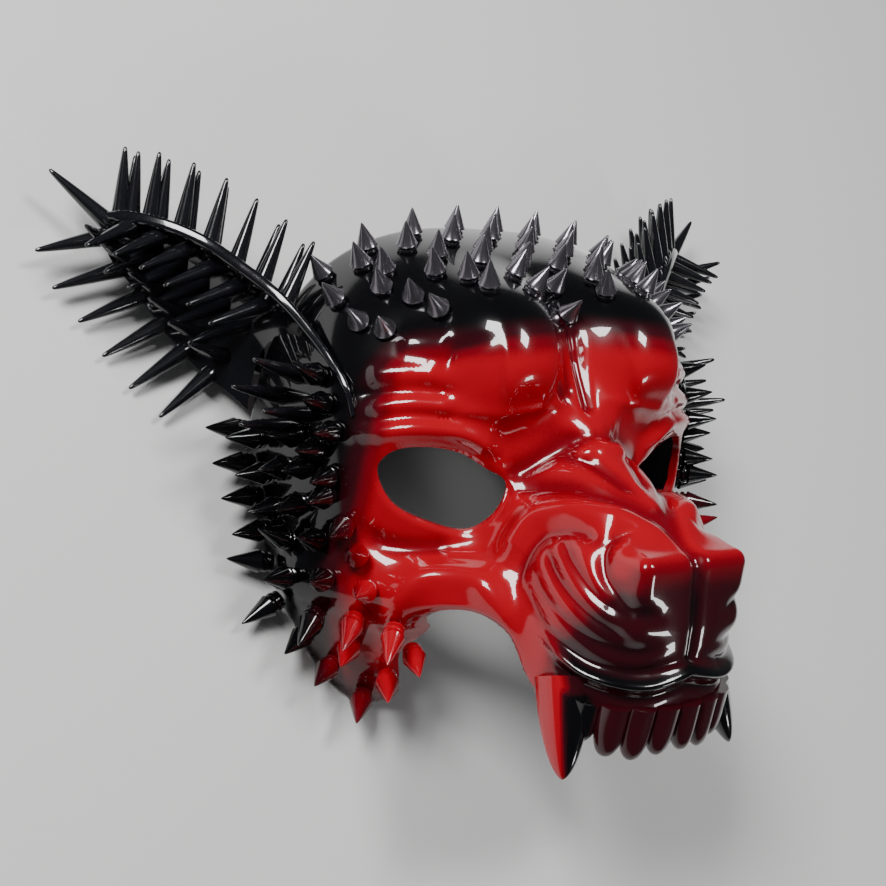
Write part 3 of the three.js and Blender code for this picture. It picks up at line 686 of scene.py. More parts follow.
@dataclass(frozen=True)
class SprayedLacquer:
    """Two-pack gloss lacquer over cast resin, red airbrushed to black, then cleared and left to flow out.

    The clear coat gives hard white highlights over a slightly softer colour coat. The airbrush leaves
    a soft edge with a fine speckle in it, and the cleared surface keeps a faint orange peel.
    """

    name: str = "two_pack_lacquer_red_to_black"
    red: str = "#a8061a"
    deep_red: str = "#740413"
    maroon: str = "#34060f"
    black: str = "#050507"
    recess_shade: float = 0.2  # painted shade: cover that each millimetre of a carved groove's depth adds, with the lip's black paint
    speckle_mm: float = 0.7
    mottle_mm: float = 22
    peel_mm: float = 3.5
    peel_depth_mm: float = 0.02
    speckle_share: float = 0.10  # how far the speckle and the mottle shift the cover
    mottle_share: float = 0.16
    rough: tuple[float, float] = (0.16, 0.30)
    stops: tuple[float, float, float, float] = (0.0, 0.3, 0.62, 0.95)  # cover at which each colour is full

    def material(self) -> bpy.types.Material:
        """The finish as a material. Its colour follows the piece's cover attribute, darkened in the carved
        grooves by painted shade.
        """
        material, tree = new_material(self.name)
        place = add_node(tree, "ShaderNodeTexCoord").outputs["Object"]
        cover = add_node(tree, "ShaderNodeAttribute", {"attribute_name": "cover"}).outputs["Fac"]
        speckle = add_node(tree, "ShaderNodeTexNoise", {"Scale": 1 / (self.speckle_mm * MM), "Detail": 2.0},
                           {"Vector": place})
        mottle = add_node(tree, "ShaderNodeTexNoise", {"Scale": 1 / (self.mottle_mm * MM), "Detail": 3.0},
                          {"Vector": place})
        grain = add_node(tree, "ShaderNodeMath", {"operation": "SUBTRACT", 1: 0.5},
                         {0: speckle.outputs["Fac"]})
        drift = add_node(tree, "ShaderNodeMath", {"operation": "SUBTRACT", 1: 0.5},
                         {0: mottle.outputs["Fac"]})
        fine = add_node(tree, "ShaderNodeMath", {"operation": "MULTIPLY_ADD", 1: self.speckle_share},
                        {0: grain.outputs[0], 2: cover})
        # Carved grooves darkened: painted shade, with some airbrushed black in the creases and the lip's
        # black paint
        sunk = add_node(tree, "ShaderNodeAttribute", {"attribute_name": "groove_shade_and_lip_black"}).outputs["Fac"]
        shaded = add_node(tree, "ShaderNodeMath", {"operation": "MULTIPLY_ADD", 1: self.recess_shade},
                          {0: sunk, 2: fine.outputs[0]})
        depth = add_node(tree, "ShaderNodeMath", {"operation": "MULTIPLY_ADD", 1: self.mottle_share},
                         {0: drift.outputs[0], 2: shaded.outputs[0]})
        ramp = add_node(tree, "ShaderNodeValToRGB", links={"Fac": depth.outputs[0]})
        colours = ramp.color_ramp
        colours.interpolation = "EASE"
        first, second, third, last = self.stops
        colours.elements[0].position, colours.elements[0].color = first, linear(self.red)
        colours.elements[1].position, colours.elements[1].color = last, linear(self.black)
        for position, colour in ((second, self.deep_red), (third, self.maroon)):
            colours.elements.new(position).color = linear(colour)
        peel = add_node(tree, "ShaderNodeTexNoise", {"Scale": 1 / (self.peel_mm * MM), "Detail": 1.0},
                        {"Vector": place})
        bump = add_node(tree, "ShaderNodeBump", {"Strength": 0.6, "Distance": self.peel_depth_mm * MM},
                        {"Height": peel.outputs["Fac"]})
        rough = add_node(tree, "ShaderNodeMapRange", {"To Min": self.rough[0], "To Max": self.rough[1]},
                         {"Value": mottle.outputs["Fac"]})
        shader = add_node(tree, "ShaderNodeBsdfPrincipled",
                          {"IOR": 1.5, "Specular IOR Level": 0.12, "Coat Weight": 1.0, "Coat Roughness": 0.03,
                           "Coat IOR": 1.5},
                          {"Base Color": ramp.outputs["Color"], "Roughness": rough.outputs["Result"],
                           "Normal": bump.outputs["Normal"], "Coat Normal": bump.outputs["Normal"]})
        add_node(tree, "ShaderNodeOutputMaterial", links={"Surface": shader.outputs[0]})
        return material


@dataclass(frozen=True)
class BlackGloss:
    """Black gloss lacquer or moulded ABS: near-black with a clear reflection and a faint waviness."""

    name: str
    colour: str = "#09090c"
    lift: str = "#15151a"
    rough: tuple[float, float] = (0.10, 0.22)
    wave_mm: float = 9
    wave_depth_mm: float = 0.05
    dust_mm: float = 0.9

    def material(self) -> bpy.types.Material:
        """The finish as a material."""
        material, tree = new_material(self.name)
        place = add_node(tree, "ShaderNodeTexCoord").outputs["Object"]
        wave = add_node(tree, "ShaderNodeTexNoise", {"Scale": 1 / (self.wave_mm * MM), "Detail": 2.0},
                        {"Vector": place})
        dust = add_node(tree, "ShaderNodeTexNoise", {"Scale": 1 / (self.dust_mm * MM), "Detail": 4.0},
                        {"Vector": place})
        tones = {"data_type": "RGBA", 6: linear(self.colour), 7: linear(self.lift)}
        tone = add_node(tree, "ShaderNodeMix", tones, {0: dust.outputs["Fac"]})
        rough = add_node(tree, "ShaderNodeMapRange", {"To Min": self.rough[0], "To Max": self.rough[1]},
                         {"Value": dust.outputs["Fac"]})
        bump = add_node(tree, "ShaderNodeBump", {"Strength": 0.5, "Distance": self.wave_depth_mm * MM},
                        {"Height": wave.outputs["Fac"]})
        shader = add_node(tree, "ShaderNodeBsdfPrincipled",
                          {"IOR": 1.5, "Specular IOR Level": 0.25, "Coat Weight": 1.0,
                           "Coat Roughness": 0.05},
                          {"Base Color": tone.outputs[2], "Roughness": rough.outputs["Result"],
                           "Normal": bump.outputs["Normal"]})
        add_node(tree, "ShaderNodeOutputMaterial", links={"Surface": shader.outputs[0]})
        return material


@dataclass(frozen=True)
class PlatedStud:
    """Black-nickel plated zinc, turned: a dark metal whose lathe marks streak the light from tip to foot."""

    name: str = "black_nickel_plated_zinc"
    colour: str = "#7f7b81"
    sprayed: str = "#4a0a12"
    streaks: float = 46  # streaks round the cone
    streak_length: float = 0.8  # streaks from foot to tip
    streak_depth_mm: float = 0.05
    rough: tuple[float, float] = (0.12, 0.34)

    def material(self) -> bpy.types.Material:
        """The finish as a material. Streaks follow the stud's own UV map, overspray its cover attribute."""
        material, tree = new_material(self.name)
        layout = add_node(tree, "ShaderNodeUVMap", {"uv_map": "turned"}).outputs["UV"]
        stretch = add_node(tree, "ShaderNodeMapping", {"Scale": (self.streaks, self.streak_length, 1)},
                           {"Vector": layout})
        streak = add_node(tree, "ShaderNodeTexNoise", {"Scale": 1.0, "Detail": 3.0, "Roughness": 0.6},
                          {"Vector": stretch.outputs["Vector"]})
        tint = add_node(tree, "ShaderNodeAttribute", {"attribute_name": "cover"}).outputs["Fac"]
        tones = {"data_type": "RGBA", 6: linear(self.sprayed), 7: linear(self.colour)}
        tone = add_node(tree, "ShaderNodeMix", tones, {0: tint})
        rough = add_node(tree, "ShaderNodeMapRange", {"To Min": self.rough[0], "To Max": self.rough[1]},
                         {"Value": streak.outputs["Fac"]})
        bump = add_node(tree, "ShaderNodeBump", {"Strength": 0.35, "Distance": self.streak_depth_mm * MM},
                        {"Height": streak.outputs["Fac"]})
        shader = add_node(tree, "ShaderNodeBsdfPrincipled", {"Metallic": 0.9},
                          {"Base Color": tone.outputs[2], "Roughness": rough.outputs["Result"],
                           "Normal": bump.outputs["Normal"]})
        add_node(tree, "ShaderNodeOutputMaterial", links={"Surface": shader.outputs[0]})
        return material


# Sub-assemblies
@dataclass
class Turned:
    """A turned piece: a profile of (radius, height) pairs carried round an axis."""

    profile: list
    sides: int = 18

    def rings(self, foot: Points, way: Points) -> Points:
        """Rings of points round an axis from a foot along a way."""
        axis = unit(way)
        aside = unit(np.cross(axis, [0, 0, 1] if abs(axis[2]) < 0.8 else [0, 1, 0]))
        other = np.cross(axis, aside)
        turns = 2 * np.pi * np.arange(self.sides) / self.sides
        ring = np.cos(turns)[:, None] * aside + np.sin(turns)[:, None] * other
        profile = np.array(self.profile, float)
        return foot + profile[:, 1, None, None] * axis + profile[:, 0, None, None] * ring

    def build(self, name: str, seats: list) -> bpy.types.Object:
        """One mesh with a turned piece on each seat, and a UV map of (turn, height).

        Args:
            name: name of the object.
            seats: pairs of foot and way.

        Returns:
            The object.
        """
        rows = len(self.profile)
        points, faces = [], []
        each = rows * self.sides + 2
        for i, (foot, way) in enumerate(seats):
            skin, parts = closed_loft(self.rings(foot, way))
            points.append(skin)
            faces.append([part + i * each for part in parts])
        joined = [np.concatenate(kind) for kind in zip(*faces)]
        piece = put_mesh(name, np.concatenate(points), joined)
        self.lay_out(piece, each)
        return piece

    def lay_out(self, piece: bpy.types.Object, each: int) -> None:
        """Writes the UV map: the share of a turn across, the share of the profile's rows up."""
        mesh = piece.data
        corners = np.empty(len(mesh.loops), np.int32)
        mesh.loops.foreach_get("vertex_index", corners)
        local = corners % each
        turn = (local % self.sides) / self.sides
        row = np.minimum(local // self.sides, len(self.profile) - 1) / (len(self.profile) - 1)
        starts = np.empty(len(mesh.polygons), np.int32)
        mesh.polygons.foreach_get("loop_start", starts)
        face_of = np.searchsorted(starts, np.arange(len(corners)), side="right") - 1
        lowest = np.minimum.reduceat(turn, starts)[face_of]
        highest = np.maximum.reduceat(turn, starts)[face_of]
        turn = np.where((highest - lowest > 0.5) & (turn < 0.5), turn + 1, turn)
        layer = mesh.uv_layers.new(name="turned")
        layer.data.foreach_set("uv", np.stack([turn, row], -1).astype(np.float32).ravel())


@dataclass
class FaceShell:
    """The cast face: a hollow shell with eye holes, an open jaw, teeth and carved folds."""

    form: HeadForm
    azimuths: int = 480
    rows: int = 200
    inner_rows: int = 34
    head_grid: tuple[int, int] = (200, 90)  # azimuths and rows of the full head
    crowding: float = 1.25  # rows stand closer towards the nose
    eye_outline: tuple = ((27, -12, 85), (33, -8, 81), (41, -4, 79), (50, -3, 74), (58, -5.5, 68),
                          (61.5, -11, 66), (58, -21, 71), (48, -26, 76), (37, -27.5, 83), (30, -20, 87))
    eye_toe: float = math.radians(22)
    eye_points: int = 160
    eye_cut: tuple = (30, 25)  # how far the eye's cutter goes in and out along its sight
    eye_reach: tuple = (20, -40, 10, 40)  # least x, least and most y and least z of places near an eye
    mouth_outline: tuple = ((-93, 50), (-93, 58), (-91.5, 64), (-87, 68.5), (-80, 70), (-70, 71.5), (-60, 78),
                            (-52, 85), (-47.5, 94), (-47.5, 101), (-51, 106), (-57, 110), (-62, 114),
                            (-66, 120), (-67, 130), (-66, 150))
    mouth_points: int = 240
    mouth_reach: float = -35  # height under which places may be near the mouth
    edge_round: float = 2.0
    fang_base: Place = (28, -57, 125)
    fang_tip: Place = (33, -82, 138)
    fang_half: tuple = (8.2, 5.2)
    gum_y: float = -60
    incisors: tuple = ((4.3, 144.5, 16), (12.6, 143, 17), (20, 140, 16), (25.5, 134.5, 13))
    incisor_half: tuple = (4.5, 3.3)
    incisor_lean: tuple = (0.6, -0.5)  # how far an incisor's point stands out and forward of its base
    tooth_rings: int = 30
    tooth_sides: int = 32
    tooth_crowding: float = 1.6  # rings stand closer towards the point
    tooth_tip: float = 0.02  # share of the tooth's size left at its point
    tooth_squareness: float = 2.3
    tooth_splay: float = 1.6  # how much more than the jaw's curve the teeth face outwards
    tooth_bow: float = 0.5  # how far a tooth curves back, as a share of its thickness
    ridge_width: float = 0.35  # half width of a tooth's ridge, in radians
    jaw_middle_z: float = 100
    fang_shape: tuple = (2.0, 0.62, 0.25)  # fullness, narrowing and ridge
    incisor_shape: tuple = (4.0, 0.5, 0.1)
    lining_round: float = 1.4
    deepest_shade: float = 3.0  # depth of carving past which its painted shade hardly deepens

    def eye_curve(self, side: int) -> Points:
        """The eye hole's closed outline."""
        outline = np.array(self.eye_outline) * [side, 1, 1]
        return curve_through(outline, self.eye_points + 1, closed=True)[:-1]

    def eye_sight(self, side: int) -> Points:
        """Direction that the eye hole runs in."""
        return np.array([side * math.sin(self.eye_toe), 0, math.cos(self.eye_toe)])

    def mouth_curve(self) -> Points:
        """The mouth opening in side view, as y and z, closed round below the jaw."""
        shaped = curve_through(self.mouth_outline, self.mouth_points)
        (jaw, _), (lip, _) = self.mouth_outline[0], self.mouth_outline[-1]
        return np.concatenate([shaped, [(lip, FAR), (-FAR, FAR), (-FAR, 0), (jaw, 0)]])

    def edge_distance(self, points: Points) -> Points:
        """Distance of base points to the nearest edge of the shell, none inside an opening.

        Args:
            points: places on the base form, one row each.

        Returns:
            Distances in millimetres, measured square to each opening's run.
        """
        distance = np.clip(inside_edges(points), 0, None)
        out, low, high, front = self.eye_reach
        for side in (-1, 1):
            sight, outline = self.eye_sight(side), self.eye_curve(side)
            aside = unit(np.cross(sight, [0, 1, 0]))
            flat = np.stack([points @ aside, points[:, 1]], -1)
            hole = np.stack([outline @ aside, outline[:, 1]], -1)
            near = (points[:, 0] * side > out) & (points[:, 2] > front)
            near &= (points[:, 1] > low) & (points[:, 1] < high)
            gaps = distance_to_line(flat[near], np.concatenate([hole, hole[:1]]))[0]
            distance[near] = np.minimum(distance[near], np.where(inside_outline(flat[near], hole), 0, gaps))
        mouth = self.mouth_curve()
        side_view = points[:, 1:]
        near = side_view[:, 0] < self.mouth_reach
        gaps = distance_to_line(side_view[near], mouth[:self.mouth_points])[0]
        gaps = np.where(inside_outline(side_view[near], mouth), 0, gaps)
        distance[near] = np.minimum(distance[near], gaps)
        return distance

    def edge_drop(self, points: Points, radius: float) -> Points:
        """How far the surface falls towards an edge: half a radius less than its distance squared over it."""
        into = np.clip(radius - self.edge_distance(points), 0, radius)
        return into**2 / (2 * radius)

    def skins(self) -> tuple[Points, Points, Points]:
        """Rings of the carved skin, the lining and the uncarved form, from the nose back past the edge."""
        azimuths = 2 * np.pi * np.arange(self.azimuths) / self.azimuths
        outer = meridians(self.form, azimuths, (np.arange(1, self.rows + 1) / self.rows) ** self.crowding)
        inner = meridians(self.form, azimuths, np.arange(1, self.inner_rows + 1) / self.inner_rows)
        flat_outer, flat_inner = outer.reshape(-1, 3), inner.reshape(-1, 3)
        height = self.form.relief(flat_outer) - self.edge_drop(flat_outer, self.edge_round)
        depth = WALL - self.edge_drop(flat_inner, self.lining_round)
        carved = flat_outer + self.form.normal(flat_outer) * height[:, None]
        lining = flat_inner - self.form.normal(flat_inner) * depth[:, None]
        grids = (carved.reshape(outer.shape), lining.reshape(inner.shape), outer)
        return tuple(grid.transpose(1, 0, 2) for grid in grids)

    def full_head(self, clearance: float) -> bpy.types.Object:
        """The head as a full solid, a clearance larger, that other pieces are cut to."""
        count, rows = self.head_grid
        azimuths = 2 * np.pi * np.arange(count) / count
        base = meridians(self.form, azimuths, np.arange(1, rows + 1) / rows)
        skin = self.form.carved(base) + clearance * self.form.normal(base)
        return put_mesh("full_head", *closed_loft(skin.transpose(1, 0, 2)))

    def block(self, low: Place, high: Place, turn: float = 0) -> bpy.types.Object:
        """A cutting block between two corners, turned about x."""
        low, high = np.array(low, float), np.array(high, float)
        square = np.array([(0, 0), (1, 0), (1, 1), (0, 1)])
        ring = np.stack([square[:, 0], square[:, 1], np.zeros(4)], -1)
        rings = np.stack([low + (high - low) * (ring + [0, 0, level]) for level in (0, 1)])
        cosine, sine = math.cos(turn), math.sin(turn)
        turned = np.stack([rings[..., 0], rings[..., 1] * cosine - rings[..., 2] * sine,
                           rings[..., 1] * sine + rings[..., 2] * cosine], -1)
        return put_mesh("block", *closed_loft(turned))

    def ground_block(self) -> bpy.types.Object:
        """A cutting block of all that would lie under the ground."""
        return self.block((-FAR, -FAR, -FAR - FLOOR_DROP), (FAR, FAR, -FLOOR_DROP), -LIE_TILT)

    def eye_cutter(self, side: int) -> bpy.types.Object:
        """A prism through the eye hole's outline along its sight."""
        outline, sight = self.eye_curve(side), self.eye_sight(side)
        into, out = self.eye_cut
        return put_mesh("eye_cutter", *closed_loft(np.stack([outline - into * sight, outline + out * sight])))

    def mouth_cutter(self) -> bpy.types.Object:
        """A prism of the mouth's side view across the whole jaw."""
        outline = self.mouth_curve()
        count = len(outline)
        around = np.arange(count)
        points = np.concatenate([np.insert(outline, 0, x, axis=1) for x in (-FAR, FAR)])
        ends = [around[None, ::-1], around[None] + count]
        return put_mesh("mouth_cutter", points, [grid_faces(2, count), *ends])

    def tooth(self, base: Points, tip: Points, half: tuple, shape: tuple) -> Points:
        """Rings of one tooth: an oval that narrows as (1 - t to the fullness) to the narrowing.

        Args:
            base: middle of the tooth in the gum.
            tip: its point.
            half: half length along the jaw and half thickness.
            shape: the fullness, larger for a blunter tooth, the narrowing, smaller for a rounder tip,
                and how far a ridge stands out of its front, as a share of its thickness.

        Returns:
            The rings.
        """
        fullness, narrowing, ridge = shape
        axis = unit(tip - base)
        outward = unit(np.array([base[0] * self.tooth_splay, 0, base[2] - self.jaw_middle_z]))
        sideways = unit(np.cross(axis, outward))
        front = np.cross(sideways, axis)
        t = 1 - np.linspace(1, 0, self.tooth_rings)[:, None] ** self.tooth_crowding
        turn = np.linspace(0, 2 * np.pi, self.tooth_sides, endpoint=False)
        taper = np.maximum(self.tooth_tip, (1 - t**fullness) ** narrowing)
        swell = 1 + ridge * np.exp(-(((turn - np.pi / 2) / self.ridge_width) ** 2))
        power = self.tooth_squareness
        oval = (np.abs(np.cos(turn)) ** power + np.abs(np.sin(turn)) ** power) ** (-1 / power)
        wide = (half[0] * taper * np.cos(turn) * oval)[..., None]
        deep = (half[1] * taper * np.sin(turn) * oval * swell)[..., None]
        middle = base + (tip - base) * t - front * half[1] * self.tooth_bow * t * (1 - t)
        return middle[:, None] + wide * sideways + deep * front

    def teeth(self, side: int) -> list:
        """The rings of the fang and the incisors on one side."""
        mirror = np.array([side, 1, 1])
        found = [self.tooth(mirror * self.fang_base, mirror * self.fang_tip, self.fang_half, self.fang_shape)]
        for x, z, length in self.incisors:
            base = np.array([side * x, self.gum_y, z])
            tip = base + [side * self.incisor_lean[0], -length, self.incisor_lean[1]]
            found.append(self.tooth(base, tip, self.incisor_half, self.incisor_shape))
        return found

    def build(self) -> bpy.types.Object:
        """The cut and finished face, still in the face frame."""
        outer, inner, base = self.skins()
        face = put_mesh("wolf_face", *closed_loft(np.concatenate([outer, inner[::-1]])))
        # Darkening of the carved grooves as painted shade, part of it the mask's airbrushed black in its
        # creases, and the lip's black paint
        depth = self.form.shade(base)
        groove_shade_and_lip_black = self.deepest_shade * (1 - np.exp(-depth / self.deepest_shade))
        # The lining is painted full black: painted shade, for the dark inside seen through the eye holes and
        # the mouth
        lining = np.ones(inner[..., 0].size)
        paint(face, "groove_shade_and_lip_black", np.concatenate([groove_shade_and_lip_black, 0 * lining, [0, 0]]))
        paint(face, "lining", np.concatenate([0 * groove_shade_and_lip_black, lining, [0, 1]]))
        combine(face, self.ground_block(), "DIFFERENCE")
        combine(face, self.block((-FAR, -FAR, -FAR), (FAR, FAR, CROWN_BACK_Z)), "DIFFERENCE")
        combine(face, self.mouth_cutter(), "DIFFERENCE")
        for side in (-1, 1):
            combine(face, self.eye_cutter(side), "DIFFERENCE")
            for rings in self.teeth(side):
                combine(face, put_mesh("tooth", *closed_loft(rings)), "UNION")
        return face


@dataclass
class Ear:
    """A hollow leaf between two edge curves, bowed back between them, with rows of long spikes."""

    rim: tuple = ((121.5, 48, -15), (110.8, 48.4, -4.2), (98.7, 44.8, 7.2), (88.4, 38.3, 16.2),
                  (79.5, 31, 26), (74.8, 23.5, 37), (72, 16.6, 47), (70, 9.5, 55.5), (68.6, 2, 58.5))
    heel: tuple = ((122.5, 46, -15.5), (120.5, 36, -12.5), (113, 26.5, -9.5), (104.6, 14.4, -3),
                   (95, 3.6, 3.6), (86.7, -2.7, 9), (78.5, -10, 15), (68, -17, 24))
    facing: Place = (0.7, -0.13, 0.7)
    cup: float = 9
    cup_width: float = 34
    wall: float = 3.0
    bead: tuple = ((0, 1.2), (0.04, 2.0), (0.5, 1.9), (0.8, 1.3), (1, 0.7))  # its radius along the rim
    bead_faces: Place = (0.6, 0.41, 0.69)  # direction that the bead's flat band looks in
    bead_squareness: float = 3.4
    bead_sides: int = 32
    stations: int = 150
    edge_points: int = 400
    crowding: float = 1.1  # stations stand closer towards the tip
    section: tuple[float, float] = (0.8, 0.3)  # powers of the leaf's flat superellipse, across and through
    around: int = 96
    # face, place across, first and last place along, count, ways of the first and the last spike
    rows: tuple = (
        ("back", 0.06, (0.04, 0.6), 7, ((-0.05, 0.98, -0.12), (-0.4, 0.9, -0.1))),
        ("back", 0.3, (0.08, 0.62), 7, ((-0.1, 0.97, -0.2), (-0.42, 0.88, -0.2))),
        ("front", 0.2, (0.1, 0.74), 8, ((0.83, -0.25, 0.48), (0.96, -0.22, 0.18))),
        ("front", 0.5, (0.2, 0.74), 7, ((0.85, -0.28, 0.42), (0.96, -0.22, 0.18))),
        ("front", 0.82, (0.12, 0.6), 6, ((0.69, 0.41, 0.59), (0.75, 0.3, 0.58))),
        ("edge", 1.0, (0.05, 0.74), 7, ((0.97, -0.24, 0), (0.75, -0.58, 0.31))),
    )
    row_between: tuple = ("back", 0.16, (0.08, 0.68), 8, ((-0.08, 0.98, -0.12), (-0.4, 0.9, -0.12)))
    tip_way: Place = (0.71, 0.6, -0.37)
    seat_clearance: float = 3.3

    def edges(self, shares: Points) -> tuple[Points, Points]:
        """The rim and the heel at shares of their lengths from the tip."""
        curves = (curve_through(edge, self.edge_points) for edge in (self.rim, self.heel))
        return tuple(spaced(curve, shares) for curve in curves)

    def point(self, along: Points, across: Points, behind: Points) -> Points:
        """A place of the leaf: between its edges, bowed back by 4 v (1 - v) of the hollow's depth.

        Args:
            along: share of the way from the tip to the root.
            across: share of the way from the rim to the heel.
            behind: distance behind the hollow's face.

        Returns:
            Places of a left ear.
        """
        rim, heel = self.edges(np.asarray(along, float))
        chord = heel - rim
        facing = np.array(self.facing)
        facing = unit(facing - chord * ((chord @ facing) / (chord**2).sum(-1))[..., None])
        across, behind = np.asarray(across, float)[..., None], np.asarray(behind, float)[..., None]
        width = np.linalg.norm(chord, axis=-1, keepdims=True)
        bow = 4 * across * (1 - across) * self.cup * np.minimum(1, width / self.cup_width)
        return rim + chord * across - facing * (bow + behind)

    def leaf(self, side: int) -> bpy.types.Object:
        """The leaf's skin, at each station a flat superellipse, with a round bead along its rim."""
        along = np.linspace(0, 1, self.stations) ** self.crowding
        turn = 2 * np.pi * np.arange(self.around) / self.around
        flatness, fullness = self.section
        across = 0.5 - 0.5 * np.sign(np.cos(turn)) * np.abs(np.cos(turn)) ** flatness
        half = np.sign(np.sin(turn)) * np.abs(np.sin(turn)) ** fullness
        depth = self.wall / 2 * (1 - half)
        grid = np.meshgrid(along, np.arange(self.around), indexing="ij")
        places = self.point(grid[0].ravel(), across[grid[1].ravel()], depth[grid[1].ravel()])
        rings = places.reshape(self.stations, self.around, 3) * [side, 1, 1]
        leaf = put_mesh("ear_leaf", *closed_loft(rings))
        combine(leaf, put_mesh("rim_bead", *closed_loft(self.bead_rings() * [side, 1, 1])), "UNION")
        return leaf

    def bead_rings(self) -> Points:
        """Rings of the rim's bead: superellipses square to the rim, a flat side towards bead_faces."""
        shares = np.linspace(0, 1, self.stations)
        middle = self.point(shares, np.zeros(self.stations), np.full(self.stations, self.wall / 2))
        along = unit(np.gradient(middle, axis=0))
        aside = unit(np.cross(along, self.bead_faces))
        other = np.cross(along, aside)
        turn = 2 * np.pi * np.arange(self.bead_sides) / self.bead_sides
        wave = np.stack([np.cos(turn), np.sin(turn)])
        section = wave * (np.abs(wave) ** self.bead_squareness).sum(0) ** (-1 / self.bead_squareness)
        oval = section[0, :, None] * aside[:, None] + section[1, :, None] * other[:, None]
        return middle[:, None] + np.interp(shares, *np.array(self.bead).T)[:, None, None] * oval

    def seats(self, form: HeadForm, side: int, rows: tuple) -> list:
        """Feet and ways of the spikes of some rows, where they stand clear of the head, and of the tip's."""
        depths = {"front": 0.0, "back": self.wall, "edge": self.wall / 2}
        found = []
        for face, across, (first, last), count, ways in rows:
            share = np.linspace(0, 1, count)[:, None]
            feet = self.point(first + (last - first) * share[:, 0], np.full(count, across),
                              np.full(count, depths[face]))
            pointing = np.array(ways[0]) * (1 - share) + np.array(ways[1]) * share
            clear = form.field(feet) > self.seat_clearance
            found += list(zip(feet[clear], pointing[clear]))
        tip = self.point(np.array([0.0]), np.array([0.5]), np.array([self.wall / 2]))[0]
        found.append((tip, np.array(self.tip_way)))
        mirror = np.array([side, 1, 1])
        return [(foot * mirror, way * mirror) for foot, way in found]


@dataclass
class StudRows:
    """Where the studs stand: rows over the crown, and rows up each cheek."""

    # distance of each crown row's middle from the back edge, half its spread in degrees, and count
    crown: tuple = ((7, 39, 9), (16, 43, 10), (25, 42, 9), (34, 45, 10), (43, 43, 9), (52, 41, 9))
    crown_fall: float = 0.3  # share of that distance lost towards the ears
    crown_fall_between: tuple = (20, 48)  # in degrees
    crown_half_width: float = 64
    search_steps: int = 160
    # height over the ground, first and last place along it, and count
    cheek: tuple = ((6.5, (-20, -108), 9), (16, (-26, -104), 8), (25.5, (-38, -98), 6), (34.5, (-50, -90), 5))
    temple_studs: tuple = ((43.5, (-15, -33), 3), (37, (-36, -45), 2), (31, (-30, -40), 2))
    temple_spikes: tuple = ((36, (-12, -25), 2), (28, (-16, -26), 2))
    lean: float = 0.15

    def crown_seats(self, form: HeadForm) -> list:
        """Feet and ways of the crown studs, set in from the crown's back edge."""
        found = []
        for from_edge, half_spread, count in self.crown:
            degrees = half_spread * np.linspace(-1, 1, count)
            shares = np.arange(1, self.search_steps + 1) / self.search_steps
            lines = meridians(form, np.radians(degrees), shares)[:, ::-1]
            fall = self.crown_fall * smooth_step(*self.crown_fall_between, np.abs(degrees))
            first = (inside_edges(lines) > (from_edge * (1 - fall))[:, None]).argmax(1)
            feet = lines[np.arange(count), first]
            seats = zip(feet, form.normal(feet))
            found += [(foot, way) for foot, way in seats if abs(foot[0]) < self.crown_half_width]
        return found

    def side_seats(self, form: HeadForm, rows: tuple, side: int, lift: float) -> list:
        """Feet and ways of studs on one side of the head, in rows parallel to the ground.

        Args:
            form: the head.
            rows: height, places along the ground and count of each row.
            side: 1 for the mask's left side, -1 for its right.
            lift: how far the feet stand off the surface.

        Returns:
            Pairs of foot and way.
        """
        ground = np.array([0, math.cos(LIE_TILT), -math.sin(LIE_TILT)])
        found = []
        for height, (first, last), count in rows:
            starts = np.linspace(first, last, count)[:, None] * ground + FLOOR_UP * (height - FLOOR_DROP)
            base = form.carved(form.leave(starts, np.broadcast_to([side, 0, 0], starts.shape)))
            ways = unit(form.normal(base) + self.lean * FLOOR_UP)
            found += list(zip(base + ways * lift, ways))
        return found


